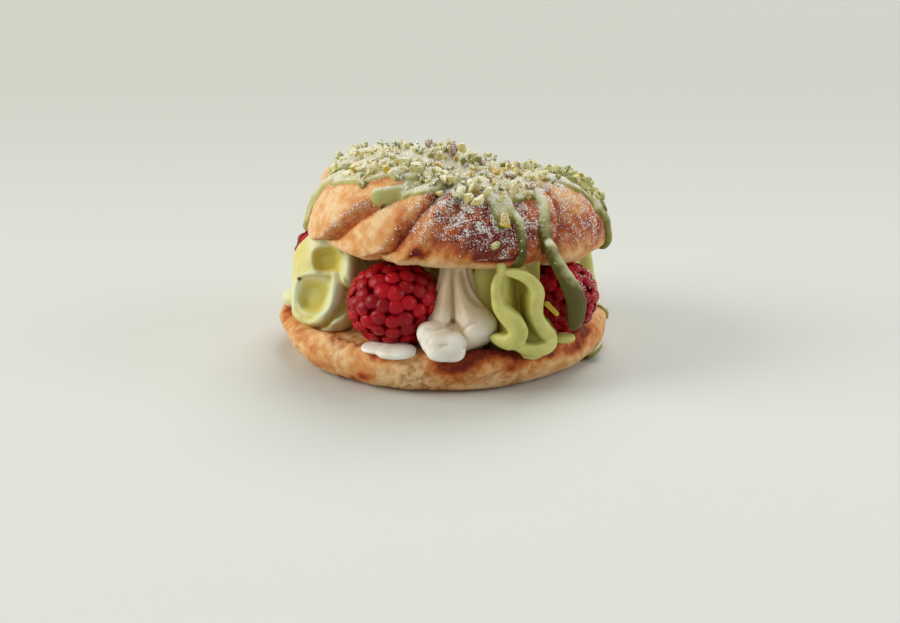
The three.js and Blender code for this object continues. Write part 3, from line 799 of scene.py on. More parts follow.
# %% Drips that follow the crust
LID_DRIPS = [
    [[-98, 74, 3, 0.9], [-105, 64, 2.8, 1], [-112, 57, 2.2, 1.2], [-119, 49, 2.1, 1.3], [-126, 41, 1.7, 1.3]],
    [[-76, 62, 2, 1], [-74, 47, 1.8, 1], [-72.5, 35, 2, 1], [-71.5, 23, 1.6, 0.9]],
    [[-78, 66, 2.2, 0.8], [-62, 66, 2.4, 1.1], [-53, 62, 2, 1.1], [-51.5, 48, 1.7, 1.1],
     [-53.5, 26, 1.6, 1.3], [-53.8, 12, 1.8, 1.6], [-53.4, 0, 1.6, 2.0]],
    [[-72, 62, 2.6, 1], [-69, 47, 2.2, 1], [-65, 30, 1.2, 1], [-64.5, 5, 1.1, 1.1],
     [-65.5, -18, 1.4, 1.2], [-66, -34, 1.5, 1.1]],
    [[-162, 76, 3, 1], [-165, 54, 3, 1], [-169, 38, 2.8, 1], [-170, 20, 2.5, 1.1],
     [-168, 4, 2.4, 1.2], [-166, -4, 2, 1.2]],
    [[4, 80, 4, 0.8], [-6, 60, 3.6, 1], [-8, 38, 2.6, 1.1], [-7, 14, 1.8, 1.2],
     [-6, -12, 1.7, 1.3], [-6, -34, 1.4, 1.1]],
    [[128, 74, 2.6, 1], [130, 50, 1.8, 1], [132, 24, 1.4, 1.1], [131, 0, 1.6, 1.2]],
    [[84, 76, 2.6, 1], [86, 50, 1.7, 1], [85, 22, 1.3, 1.1], [87, -16, 1.6, 1.2]],
]
BASE_DRIPS = [
    [[3, 74, 1.4, 0.9], [3, 48, 1.7, 1], [2, 20, 1.5, 1], [1, 2, 1, 0.8]],
    [[-15, -6, 1.2, 0.8], [-17, -18, 2.2, 1.2], [-19, -28, 2.4, 1.2], [-20, -35, 1.8, 0.9]],
]


def surface_at(point_at, angle, turn):
    """A point of a ring, the ways along it and the way out of it."""
    here = point_at(angle, turn)
    round_it, up_it = point_at(angle + 1, turn) - here, point_at(angle, turn + 1) - here
    return here, round_it, up_it, unit(np.cross(round_it, up_it))


def drip_mesh(point_at, rows, steps=70, sides=18):
    """A tube that lies on a ring."""
    share = np.linspace(0, 1, steps)
    corner = (np.arange(sides)[:, None] + 0.5) * 360 / sides
    angle, turn, width, thick = along(rows, share).T
    ahead = along(rows, share + 0.02) - along(rows, share - 0.02)
    _, round_it, up_it, _ = surface_at(point_at, angle, turn)
    round_size, up_size = np.linalg.norm(round_it, axis=-1), np.linalg.norm(up_it, axis=-1)
    across = np.stack([ahead[:, 0] * round_size, ahead[:, 1] * up_size])
    across /= np.hypot(*across)
    end = round_ends(share, 12, 0.02)
    beside = width * end * np.cos(corner * DEG)
    foot, _, _, out = surface_at(
        point_at, angle - across[1] * beside / round_size, turn + across[0] * beside / up_size
    )
    s = np.sin(corner * DEG)
    height = np.where(s > 0, thick * end * np.abs(s) ** 0.7, 0.6 * s)
    tips = [point_at(*along(rows, np.array(k))[:2]) for k in (0, 1)]
    return tube_mesh(foot + out * height[..., None], *tips)


print("drips:", len(LID_DRIPS), "on the lid and", len(BASE_DRIPS), "on the lower ring")

# %% [markdown]
# One drip has left the lid's rim, and hangs down over the raspberry on the right. It is a tube
# through free air, so its rows are places: x, y, z, half width and half thickness.

# %% Drip that hangs free
HANGING_DRIP = [
    [24.2, -28.4, 34.6, 1.8, 1.5],
    [25.4, -29.4, 31.4, 1.9, 1.4],
    [27.4, -30.2, 28, 2.2, 1.2],
    [29.6, -30.4, 24.2, 2.8, 1.2],
    [31, -29.8, 20, 3.1, 1.3],
    [31, -29, 16, 2.7, 1.3],
    [30.2, -28.2, 12.8, 1.7, 1.1],
]


def hanging_drip(steps=60, sides=24):
    share = np.linspace(0, 1, steps)
    rows = along(HANGING_DRIP, share)
    centre, (width, thick) = rows[:, :3], rows[:, 3:].T
    across = unit(np.array([-HANGING_DRIP[0][1], HANGING_DRIP[0][0], 0]))
    ahead = unit(np.gradient(centre, axis=0))
    front = unit(np.cross(across, ahead))
    end = round_ends(share, 10, 0.03)
    corner = np.arange(sides)[:, None, None] * 360 / sides * DEG
    section = across * (width * end)[:, None] * np.cos(corner)
    section = section - front * (thick * end)[:, None] * np.sin(corner)
    tips = [centre[k] + [0, 0, way * 0.4] for k, way in ((0, 1), (-1, -1))]
    return tube_mesh(centre + section, *tips)


# %% [markdown]
# One voxel remesh melts the ring and the drips together, so that they join in fillets. The glaze
# is painted darker in the drips on the right, as shade, and painted paler on the left, as the
# window light that falls there.

# %% Melted glaze
LID_VOXEL, DRIP_VOXEL = 0.5, 0.25
lid_glaze = [glaze_ring] + [drip_mesh(lid_point, rows) for rows in LID_DRIPS]
lid_glaze = [(lean(points), faces) for points, faces in lid_glaze]
glaze = add_piece("pistachio_glaze", join(lid_glaze + [hanging_drip()]))
melt(glaze, LID_VOXEL, 3)
points = points_of(glaze)
raise_skin(glaze, 0.16 * clouds(points, 3.2) + 0.05 * clouds(points, 1.3))
# Painted shade on the drips at the right, and painted light on the left.
deep = smooth(points[:, 0], 6, 18) * (1 - smooth(points[:, 1], -22, -14)) * (1 - smooth(points[:, 2], 34, 45))
mark(glaze, "deep", 0.92 * deep)
mark(glaze, "painted_light_left", 0.75 * (1 - smooth(points[:, 0], -10, 4)))
base_glaze = add_piece("glaze_on_lower_ring", join([drip_mesh(base_point, rows) for rows in BASE_DRIPS]))
melt(base_glaze, DRIP_VOXEL, 3)
print("glaze:", len(glaze.data.polygons), "faces")

# %% [markdown]
# The glaze is white chocolate coloured with pistachio paste: dull, milky and faintly translucent,
# with specks of nut in it. Sugar fell on whatever faces up, so the dust follows the normal. Faces
# that point up are also painted a paler green, as light from above.

# %% Glaze material
def glaze_finish(name):
    finish = Finish(name, 0.4, Specular_IOR_Level=0.26)
    green = finish.mix(finish.step(finish.noise(6, 4), 0.35, 0.65), "7d7834", "97924a")
    green = finish.mix(finish.step(finish.cells(1.3), 0.1, 0.24, 0.6, 0), green, "585a20")
    # Painted shade: the drips on the right get a dark olive.
    green = finish.mix(finish.mark("deep"), green, "4d460c")
    # Painted light: the left side, where the window light falls, gets a pale green.
    green = finish.mix(finish.mark("painted_light_left"), green, "bfbc7a")
    # Painted light: faces that point up get a paler green.
    green = finish.mix(finish.step(finish.upward(), 0.2, 0.75), green, "c9c588")
    grains = finish.step(finish.noise(0.3, 2), 0.42, 0.52)
    clumps = finish.step(finish.noise(2.6, 3), 0.36, 0.6, 0.45, 1)
    dusted = finish.times(grains, clumps, finish.step(finish.upward(), 0.4, 0.8))
    finish.set("Base Color", finish.mix(dusted, green, "f0eeea"))
    finish.glow(0.15, 1.5, 1.6, 0.6)
    finish.bump((finish.noise(1.4, 3), 0.14), (finish.noise(0.35, 2), 0.03), (dusted, 0.08))
    return finish.material


dress(glaze_finish("dull_pistachio_glaze"), glaze, base_glaze)

# %% [markdown]
# ## The raspberries
# A raspberry is a cluster of small beads, the drupelets. We place their middles with the golden
# angle, which spreads points evenly over a ball, and push a fine sphere out to whichever bead is
# the outermost in each direction. That gives full, round beads with sharp creases between them.

# %% Beads of a raspberry
GOLDEN_ANGLE = 137.508
BEAD = 0.232  # radius of a drupelet, the berry's being 1
CORE = 0.88  # the creases go no deeper than this
# Place, half sizes, how its axis tilts and where it heads, drupelets, and how fine its mesh is.
BERRIES = {
    "raspberry_front": dict(
        at=[-11.2, -25.2, 18.5], size=[11.5, 10.8, 10.3], tilt=62, heading=-120, drupelets=118, level=7
    ),
    "raspberry_right": dict(
        at=[27.6, -17.6, 17.8], size=[9.4, 9.6, 9], tilt=75, heading=-25, drupelets=108, level=6
    ),
    "raspberry_left": dict(
        at=[-28.3, 12.8, 19], size=[9.2, 9.2, 8.7], tilt=70, heading=160, drupelets=100, level=6
    ),
    "raspberry_back": dict(
        at=[5.2, 27, 16.5], size=[9.8, 9.4, 7.3], tilt=80, heading=85, drupelets=100, level=6
    ),
}


def ball(level):
    """Points and faces of a fine sphere of even triangles."""
    made = bmesh.new()
    bmesh.ops.create_icosphere(made, subdivisions=level, radius=1)
    return taken_from(made)


def bead_middles(count, tilt, heading, random):
    """Directions of the drupelets, spread evenly and then jostled."""
    k = np.arange(count)
    z = 1 - (2 * k + 1) / count
    r, a = np.sqrt(1 - z * z), GOLDEN_ANGLE * k * DEG
    turned = np.array(Euler((0, tilt * DEG, heading * DEG)).to_matrix())
    spread = np.stack([r * np.cos(a), r * np.sin(a), z], -1) @ turned.T
    return unit(spread + random.normal(0, 0.022, (count, 3)))


# %% [markdown]
# A ray from the middle of the berry meets a bead where a quadratic says so. We solve it for every
# ray and every bead at once and keep the farthest. Each point also learns how high on its bead it
# is, and which bead's shade of red it has.

# %% Raspberries
FIRST_SEED = 40


def add_raspberry(name, berry, seed):
    random = np.random.default_rng(seed)
    ways, faces = ball(berry["level"])
    middles = bead_middles(berry["drupelets"], berry["tilt"], berry["heading"], random)
    bead = BEAD * (1 + random.uniform(-0.07, 0.09, len(middles)))
    far = 1 - bead + random.uniform(-0.012, 0.012, len(middles))
    facing = (ways @ middles.T) * far
    squared = facing**2 - far**2 + bead**2
    reach = np.where(squared > 0, facing + np.sqrt(np.maximum(squared, 0)), 0).max(1)
    reach = np.maximum(reach, CORE) + 0.01
    piece = add_piece(name + "_ripe", (np.array(berry["at"]) + ways * reach[:, None] * berry["size"], faces))
    mark(piece, "bead", np.clip((reach - 0.935) / 0.07, 0, 1))
    tone = random.uniform(0, 1, len(middles))
    mark(piece, "tone", tone[np.argmax(facing, 1)])
    return piece, middles


raspberries, drupelets = {}, {}
for seed, (name, berry) in enumerate(BERRIES.items(), FIRST_SEED):
    raspberries[name], drupelets[name] = add_raspberry(name, berry, seed)
print("raspberries:", [len(r.data.polygons) for r in raspberries.values()], "faces")

# %% [markdown]
# A fine dry hair, the remains of the flower's style, stands on about every second drupelet. Each
# hair is a thin tapered tube with three sides, bent a little one way.

# %% Hairs on the raspberries
HAIR_SHARES = np.linspace(0, 1, 6)
HAIR_RADIUS = 0.05


def hair_mesh(root, way, length, thick, random):
    side = unit(np.cross(way, random.normal(0, 1, 3)))
    bend = unit(np.cross(side, way))
    curl = random.uniform(0.2, 0.7) * length
    spine = root + np.outer(HAIR_SHARES * length, way) + np.outer(HAIR_SHARES**2 * curl, bend)
    width = thick * (1 - 0.75 * HAIR_SHARES)
    turns = np.arange(3) * 120 * DEG
    around_it = np.cos(turns)[:, None, None] * side + np.sin(turns)[:, None, None] * bend
    return tube_mesh(spine + around_it * width[:, None], spine[0], spine[-1])


random = np.random.default_rng(11)
hair_meshes = []
for name, middles in drupelets.items():
    berry = BERRIES[name]
    for middle in middles:
        if random.uniform() < 0.5:
            root = np.array(berry["at"]) + middle * berry["size"] * 0.98
            way = unit(middle + random.normal(0, 0.35, 3))
            hair_meshes.append(hair_mesh(root, way, random.uniform(0.9, 2.0), HAIR_RADIUS, random))
berry_hairs = add_piece("raspberry_hairs", join(hair_meshes))
hair_look = Finish("dry_raspberry_hair", 0.6)
hair_look.set("Base Color", hair_look.mix(hair_look.noise(3), "b06a4a", "d9a27a"))
dress(hair_look.material, berry_hairs)
print("hairs:", len(hair_meshes))

# %% [markdown]
# Raspberry skin is thin, juicy and covered in down so fine that it shows only as a pale bloom at
# grazing angles, which is what the shader's sheen is for. A pale pink is also painted on the tops
# of the beads, as sheen. Light soaks into the beads, and the creases between them are painted
# nearly black red, as shade.

# %% Raspberry material
def berry_finish(name):
    finish = Finish(name, 0.17, Sheen_Weight=0.015, Sheen_Roughness=0.4, Sheen_Tint=paint("f0b0b8"))
    bead = finish.mark("bead")
    finish.set("Specular IOR Level", finish.step(bead, 0.1, 0.7, 0, 0.22))
    red = finish.mix(finish.mark("tone"), "8a0210", "b60a1c")
    # Painted shade: the creases between the beads are nearly black red.
    red = finish.mix(finish.step(bead, 0.0, 0.55), "4a0008", red)
    # Painted highlight: a pale pink on the tops of the beads, as sheen.
    painted_sheen = finish.times(finish.step(finish.noise(0.8, 4), 0.45, 0.75, 0, 0.08), finish.step(bead, 0.6, 1))
    finish.set("Base Color", finish.mix(painted_sheen, red, "cc6a74"))
    finish.glow(0.14, 2.5, 0.2, 0.25)
    finish.bump((finish.noise(0.9, 3), 0.16), (finish.noise(0.2, 2), 0.02))
    return finish.material


dress(berry_finish("ripe_raspberry"), *raspberries.values())

# %% [markdown]
# ## The piped creams
# A star nozzle leaves a rosette of soft folds. Each fold is a line of places from the foot to the
# top, and the wall between two folds sinks into a valley. The rosettes in front have folds of
# their own, and those behind have folds that are much alike, so a formula gives them.

# %% Folds of the rosettes
CREAM_HEIGHTS = [8, 10.5, 13, 17, 21.5, 26, 30.5]  # of the rows that each fold has


def plain_folds(count, first, twist, reach):
    """Folds that are much alike: rows of angle, reach, and the share of it that the valley has."""
    share = np.linspace(0, 1, len(CREAM_HEIGHTS))
    reaches = np.interp(share, [0, 1 / 3, 2 / 3, 1], reach)
    valleys = np.interp(share, [0, 0.2, 0.45, 1], [0.95, 0.88, 0.72, 0.7])
    folds = []
    for k in range(count):
        uneven = 1 + 0.06 * math.sin(5.1 * k + first)
        folds.append(np.stack([first + 360 * k / count + twist * share**1.3, uneven * reaches, valleys], -1))
    return folds


# Rows of angle, reach and share of the valley after the fold, at each of the heights.
ROSETTES = {
    "white_cream_front": dict(at=[3, -26.8], crest=0.28, folds=[
        [[-150, 9.6, 0.9], [-150, 10, 0.84], [-146, 10, 0.8], [-142, 8.6, 0.76],
         [-138, 5.8, 0.74], [-137, 3.9, 0.76], [-137, 3.6, 0.8]],
        [[-50, 7.8, 0.95], [-45, 8.8, 0.95], [-40, 10.8, 0.9], [-40, 11, 0.8],
         [-52, 7, 0.78], [-66, 4.2, 0.78], [-71, 3.6, 0.8]],
        [[30, 8, 0.9], [30, 8, 0.9], [24, 8, 0.8], [10, 7, 0.8],
         [-2, 5.7, 0.8], [-5, 4.2, 0.8], [-5, 3.6, 0.8]],
        [[110, 8, 0.9], [110, 8, 0.9], [110, 7.6, 0.8], [110, 6.8, 0.8],
         [110, 5.6, 0.8], [110, 4.2, 0.8], [110, 3.6, 0.8]],
        [[186, 8, 0.9], [186, 8, 0.9], [188, 8, 0.85], [190, 7, 0.8],
         [194, 5.4, 0.8], [194, 4, 0.8], [194, 3.6, 0.8]],
    ]),
    "pistachio_cream_right": dict(at=[16.6, -25], folds=[
        [[-96, 8, 1.25], [-96, 8.8, 1.18], [-96, 9, 0.9], [-102, 9, 0.6],
         [-110, 9.2, 0.42], [-112, 9, 0.42], [-112, 8.8, 0.5]],
        [[-44, 11.4, 0.85], [-43, 11.8, 0.85], [-44, 11.2, 0.8], [-50, 9.8, 0.7],
         [-50, 8.8, 0.6], [-58, 8.2, 0.56], [-92, 6, 0.6]],
        [[0, 11, 0.9], [0, 10.6, 0.8], [2, 9.4, 0.65], [4, 7.4, 0.6],
         [2, 6.2, 0.6], [0, 6, 0.6], [-5, 6, 0.6]],
        [[62, 12, 0.9], [63, 11.8, 0.8], [64, 11.4, 0.65], [64, 11, 0.6],
         [60, 10.4, 0.6], [56, 9.4, 0.6], [52, 8, 0.6]],
        [[122, 12, 0.9], [123, 11.8, 0.8], [124, 11.4, 0.65], [124, 11, 0.6],
         [120, 10.4, 0.6], [116, 9.4, 0.6], [112, 8, 0.6]],
        [[190, 8, 0.9], [192, 8.6, 0.88], [196, 9.4, 0.74], [200, 10, 0.6],
         [196, 10, 0.56], [190, 9.8, 0.56], [184, 9, 0.6]],
    ]),
    "pistachio_cream_left": dict(at=[-27.4, -6.8], folds=[
        [[-150, 9.6, 1], [-150, 10.1, 1], [-148, 10.2, 1], [-146, 10, 1],
         [-146, 9.4, 1], [-146, 8.2, 1], [-146, 5.6, 1]],
        [[-96, 9.8, 1], [-96, 10.3, 1], [-96, 10.2, 1], [-96, 9.8, 1],
         [-96, 9.4, 1], [-96, 8.4, 1], [-96, 6, 1]],
        [[-44, 9.6, 0.8], [-44, 10, 0.8], [-44, 9.8, 0.8], [-44, 9.4, 0.7],
         [-42, 9, 0.7], [-36, 8, 0.7], [-30, 6, 0.7]],
        [[20, 11, 0.8], [22, 10.8, 0.8], [26, 10.2, 0.7], [28, 9.8, 0.6],
         [26, 9.2, 0.6], [24, 8, 0.6], [20, 5, 0.6]],
        [[86, 11, 0.9], [88, 10.8, 0.84], [92, 10.4, 0.76], [94, 9.8, 0.72],
         [92, 9.2, 0.7], [90, 8, 0.7], [86, 5, 0.7]],
        [[146, 11, 0.95], [148, 10.8, 0.9], [152, 10.6, 0.86], [156, 10.3, 0.84],
         [162, 9.8, 0.84], [168, 8.3, 0.84], [172, 4.6, 0.84]],
    ]),
    "pistachio_cream_far_right": dict(at=[28.6, 5.4], folds=plain_folds(7, 8, 56, [10, 9.8, 7.8, 3.4])),
    "pistachio_cream_back": dict(at=[-9, 27.6], folds=plain_folds(7, 26, 56, [10.4, 10.6, 8.8, 4])),
    "white_cream_back_right": dict(at=[19, 20.6], folds=plain_folds(7, 10, 50, [9.6, 9.2, 7.2, 3.4])),
    "white_cream_back_left": dict(at=[-21, 21.4], folds=plain_folds(7, 44, 50, [8.8, 8.6, 6.8, 3.2])),
}
print("folds:", {name: len(rosette["folds"]) for name, rosette in ROSETTES.items()})

# %% [markdown]
# The body of a rosette is a tube round its folds. Between two folds the reach drops to the share
# that the valley has. At the foot the valleys fill out into a hem, where the cream spread on the
# choux. The remesh that comes later rounds the folds off into thick lips.

# %% Body of a rosette
def rosette_body(at, folds, crest=0.02, rows=100, columns_a_fold=24):
    foot, top = CREAM_HEIGHTS[0], CREAM_HEIGHTS[-1]
    z = np.linspace(foot, top, rows)
    share = np.interp(z, CREAM_HEIGHTS, np.linspace(0, 1, len(CREAM_HEIGHTS)))
    tuck = 1 - 0.1 * (1 - smooth(z, 8.8, 11.2))
    part = np.arange(columns_a_fold)[:, None] / columns_a_fold
    lip = 1 - smooth(np.minimum(part, 1 - part), crest, 0.5)
    sides = []
    for fold, following in zip(folds, folds[1:] + folds[:1]):
        a0, r0, valley = along(fold, share).T
        a1, r1, _ = along(following, share).T
        reach = (r0 + (r1 - r0) * smooth(part, 0, 1)) * (valley + (1 - valley) * lip) * tuck
        angle = (a0 + (a1 - a0) % 360 * part) * DEG
        x, y = at[0] + reach * np.cos(angle), at[1] + reach * np.sin(angle)
        sides.append(np.stack([x, y, np.broadcast_to(z, x.shape)], -1))
    return tube_mesh(np.concatenate(sides), [*at, foot], [*at, top])


# %% [markdown]
# The folds that stand out most on the right are ribbons of their own, that melt into the rosette.
# One winds down like an S, and the next one starts as a hood and runs on as the hem.

# %% Ribbons
# Rows of x, y, z and half width.
RIBBONS = {
    "pistachio_cream_right": [
        dict(thick=1.2, deep=6, rows=[
            [14.0, -31.8, 28.4, 1.1], [12.7, -32.9, 27, 1.1], [12.1, -34.3, 24.4, 1.1],
            [12.7, -35.4, 21.0, 1.4], [14.4, -36.2, 19.0, 1.9], [16.3, -37, 17.4, 2.2],
            [17.3, -37.4, 15.6, 2.3], [16.7, -37.4, 13.9, 2.2], [14.9, -36.9, 12.9, 1.9],
            [12.9, -35.6, 13.1, 1.6], [11.3, -34.2, 13.5, 1.2],
        ]),
        dict(thick=1.1, deep=6, rows=[
            [13.6, -31.6, 28.2, 0.8], [15.6, -32.4, 28.2, 1.1], [18.2, -32.8, 27.6, 1.3],
            [20.6, -32.8, 26, 1.5], [21.9, -33, 23.6, 1.7], [21.6, -33.6, 20.6, 1.7],
            [21.8, -34, 17.6, 1.7], [23.5, -34.4, 15, 1.8], [25.0, -34.6, 12.9, 1.7],
            [24.3, -35.8, 11.4, 1.5], [21.8, -36.8, 10.9, 1.4], [19, -37.2, 11.3, 1.3],
            [16.5, -37, 12, 1.3],
        ]),
    ],
}


def ribbon(at, rows, thick, deep, steps=110, sides=24):
    """A fold on a rosette: a rounded lip that is so thick, and the wall behind it, so deep."""
    share = np.linspace(0, 1, steps)
    places = along(rows, share)
    centre, width = places[:, :3], places[:, 3] * round_ends(share, 10, 0.04)
    ahead = unit(np.gradient(centre, axis=0))
    across = unit(np.cross(ahead, centre * [1, 1, 0] - [*at, 0]))
    front = np.cross(across, ahead)
    corner = np.arange(sides)[:, None, None] * 360 / sides * DEG
    outward = np.where(np.sin(corner) > 0, thick, deep) * power(np.sin(corner), 0.8)
    section = across * width[:, None] * np.cos(corner) + front * outward
    return tube_mesh(centre + section, centre[0], centre[-1])


# %% [markdown]
# Small lobes, dabs and tongues of cream are soft blobs that melt into their rosette. The tongue of
# white cream laps over the rim in front. Two dabs lie on the choux by themselves.

# %% Lobes and dabs
LOBES = {
    "white_cream_front": [
        dict(at=[0.7, -37.0, 12.0], size=[4.7, 3.2, 3.5], square=0.66),
        dict(at=[-2.6, -35.2, 14.5], size=[3.5, 3.0, 2.7], square=0.8),
        dict(at=[-1.4, -36.2, 13.2], size=[3.8, 3.0, 3.4], square=0.8),
    ],
    "pistachio_cream_left": [
        dict(at=[-35.6, 0.9, 11.6], size=[4.4, 4.2, 2.6]),
        dict(at=[-22.3, -14.6, 23.8], size=[2.2, 5.2, 4.5]),
    ],
}
DABS = {
    "white_cream_dab": [
        dict(at=[-15.2, -32.8, 10.2], size=[4.0, 3.6, 0.9], square=0.9),
        dict(at=[-10.8, -34.5, 10.0], size=[4.7, 4.5, 1.4], square=0.85),
    ],
    "pistachio_cream_dab": [dict(at=[28.4, -27.2, 10.7], size=[2.7, 2.3, 1.1], square=0.85)],
}
BLOB_LEVEL = 5


def blob(at, size, square=1.0):
    """A ball, or with a smaller square a soft box, of those half sizes."""
    points, faces = ball(BLOB_LEVEL)
    return np.array(at) + power(points, square) * size, faces


print("lobes:", sum(map(len, LOBES.values())), "and blobs in the dabs:", sum(map(len, DABS.values())))

# %% [markdown]
# The cups, lips and creases of the other rosettes are reliefs, laid on as they look from in front
# and a little above. A point's place is then its x and a height that counts a third of its y. Each
# relief follows a curve: its rows give a place, the half width there, and how far it stands out.

# %% Reliefs
VIEW_SLOPE = 18.5 * DEG
TOWARDS = np.array([0, -math.cos(VIEW_SLOPE), math.sin(VIEW_SLOPE)])
# Each cup: place, half width and half height, tilt in degrees, depth.
CUPS = {
    "pistachio_cream_left": [
        dict(at=[-30.8, 11.9], size=[4.5, 4.9], tilt=-10, depth=3.4),
        dict(at=[-27.7, 21.0], size=[3.7, 4.1], tilt=10, depth=2.7),
    ],
}
CREST_CURVES = {
    "pistachio_cream_left": [
        [[-35.6, 14.6, 0.7, 0.8], [-34.2, 16.9, 0.8, 1.1], [-31.6, 17.8, 0.9, 1.3], [-28.6, 17.8, 0.9, 1.4],
         [-26.6, 17.9, 1.0, 1.4], [-25.3, 17.0, 1.5, 1.6], [-24.9, 14.7, 2.1, 2.0], [-25.7, 11.8, 2.1, 2.2],
         [-27.4, 8.4, 1.9, 2.0], [-29.6, 5.7, 1.5, 1.7], [-32, 4.7, 1.0, 1.3], [-34, 5.6, 0.8, 1.0],
         [-35.7, 7.9, 0.7, 0.9], [-36.2, 11, 0.7, 0.9], [-35.6, 14.6, 0.7, 0.8]],
        [[-22.0, 8.2, 0.9, 1.4], [-23.0, 6.4, 1.7, 2.2], [-24.4, 4.7, 2.4, 2.6], [-26.6, 3.3, 1.9, 2.4],
         [-28.8, 3.0, 0.9, 1.4]],
    ],
}
CREASES = {
    "white_cream_front": [
        [[2.1, 18, 0.35, 0.5], [2.25, 12.8, 0.4, 0.8], [2.35, 9.2, 0.45, 1.0], [2.25, 5.7, 0.5, 1.0]],
        [[2.25, 5.7, 0.5, 1.0], [0.6, 4.4, 0.45, 0.9], [-1.5, 3.7, 0.4, 0.7], [-3.6, 3.8, 0.4, 0.5]],
        [[2.25, 5.7, 0.5, 1.0], [3.7, 4.4, 0.45, 0.9], [4.6, 2.9, 0.45, 0.9], [4.9, -0.6, 0.45, 0.8]],
        [[4.8, 3.5, 0.35, 0.5], [6.2, 4.8, 0.4, 0.6], [7.8, 5.4, 0.45, 0.3]],
        [[4.3, 17.4, 0.5, 1.1], [5.4, 13.4, 0.55, 1.1], [7.2, 10.6, 0.6, 0.9], [9.6, 8.9, 0.6, 0.4]],
        [[-0.6, -0.2, 0.3, 0.5], [1.1, 0.1, 0.3, 0.5]],
    ],
    "pistachio_cream_left": [
        [[-28.2, 4.8, 0.4, 0.9], [-26.6, 6.6, 0.5, 1.4], [-24.8, 8.6, 0.6, 1.6], [-22.4, 10.4, 0.6, 1.4]],
    ],
}


# %% [markdown]
# For each point we find the nearest place of each curve. A lip is a rounded rib along its curve, a
# crease is a groove, and a cup is a hollow with a flat floor. Only points that face us move.

# %% Height of a relief
def near_curve(place, rows):
    """How far places are from a curve, and its half width and height where it is nearest."""
    curve = along(rows, np.linspace(0, 1, 100))
    gap = np.hypot(place[:, 0, None] - curve[:, 0], place[:, 1, None] - curve[:, 1])
    nearest = gap.argmin(1)
    return gap.min(1), *curve[nearest, 2:].T


def relief(name, points, out):
    """How far each point of a cream moves towards the viewer."""
    place = np.stack([points[:, 0], points[:, 2] + math.tan(VIEW_SLOPE) * points[:, 1]], -1)
    moved = np.zeros(len(points))
    for cup in CUPS.get(name, []):
        turned = np.exp(-1j * cup["tilt"] * DEG) * ((place - cup["at"]) @ [1, 1j])
        sides = np.abs(np.stack([turned.real / cup["size"][0], turned.imag / cup["size"][1]]))
        how_far = (sides**2.5).sum(0) ** 0.4  # a rounded box rather than an oval
        moved -= cup["depth"] * (1 - smooth(how_far, 0.5, 0.98))
    for rows in CREST_CURVES.get(name, []):
        gap, width, height = near_curve(place, rows)
        share = gap / width
        moved += height * np.sqrt(1 - np.clip(share, 0, 1) ** 2) * (1 - smooth(share, 0.7, 1.0) * 0.5)
    for rows in CREASES.get(name, []):
        gap, width, depth = near_curve(place, rows)
        moved -= depth * bell(gap, width)
    return moved * smooth(out @ TOWARDS, -0.1, 0.35)


print("reliefs on", sorted({*CUPS, *CREST_CURVES, *CREASES}))

# %% [markdown]
# Now each rosette is put together from its body, ribbons and lobes, and melted. The reliefs come
# after that, and a second, light melt evens out the mesh where they stretched it.

# %% Creams
FINE_VOXEL, COARSE_VOXEL = 0.3, 0.5  # of the rosettes in front, and of the ones behind
creams = {}
for name, rosette in ROSETTES.items():
    parts = [rosette_body(**rosette)]
    parts += [ribbon(rosette["at"], **band) for band in RIBBONS.get(name, [])]
    parts += [blob(**lobe) for lobe in LOBES.get(name, [])]
    in_front = rosette["at"][1] < 0
    cream = melt(add_piece(name + "_piped", join(parts)), FINE_VOXEL if in_front else COARSE_VOXEL, 5)
    if name in CUPS or name in CREASES:
        points = points_of(cream)
        move_points(cream, points + relief(name, points, normals_of(cream))[:, None] * TOWARDS)
        melt(cream, FINE_VOXEL, 2)
    creams[name] = cream
for name, dabs in DABS.items():
    creams[name] = melt(add_piece(name + "_soft", join([blob(**dab) for dab in dabs])), FINE_VOXEL, 3)
print("creams:", sum(len(c.data.polygons) for c in creams.values()), "faces")

# %% [markdown]
# Deep between the folds the cream is painted darker and warmer, as shade, on top of what the
# light makes. We slice each rosette into layers, find how far its lips reach in each, and mark
# every point by how far behind them it lies.

# %% Painted shade in the hollows of the creams
LAYER = 2  # height of a slice


def painted_shade_share(name, points):
    """How much painted shade a point gets: 0 on the lips of a rosette and 1 deep between them."""
    out = np.hypot(*(points[:, :2] - ROSETTES[name]["at"]).T)
    layer = (points[:, 2] / LAYER).astype(int)
    numbers = np.arange(layer.max() + 1)
    widest = [np.percentile(out[layer == k], 92) if (layer == k).any() else 1 for k in numbers]
    reach = np.interp(points[:, 2], LAYER * numbers + LAYER / 2, widest)
    painted_hollow_shade = 1 - smooth(out / reach, 0.55, 0.95)
    if name == "white_cream_front":  # its stem lies in the shade of the lid
        painted_hollow_shade = np.maximum(painted_hollow_shade, smooth(points[:, 2], 12, 22))
    if name == "pistachio_cream_left":  # and its right side in the shade of the berry
        shaded = smooth(points[:, 0], -25, -22.4) * (1 - smooth(points[:, 2], 19, 23))
        painted_hollow_shade = np.maximum(painted_hollow_shade, 0.85 * shaded)
    return painted_hollow_shade


for name, cream in creams.items():
    points = points_of(cream)
    raise_skin(cream, 0.12 * clouds(points, 4) + 0.03 * clouds(points, 1.2))
    mark(cream, "painted_hollow_shade", painted_shade_share(name, points) if name in ROSETTES else np.zeros(len(points)))
print("hollows are marked on", len(ROSETTES), "rosettes")

# %% [markdown]
# Cream is smooth and satiny, and light passes through its thin lips, so it gets subsurface
# scattering. The pistachio cream is a yellow green. Every cream is painted deeper and darker in
# its hollows and concave spots, as shade.

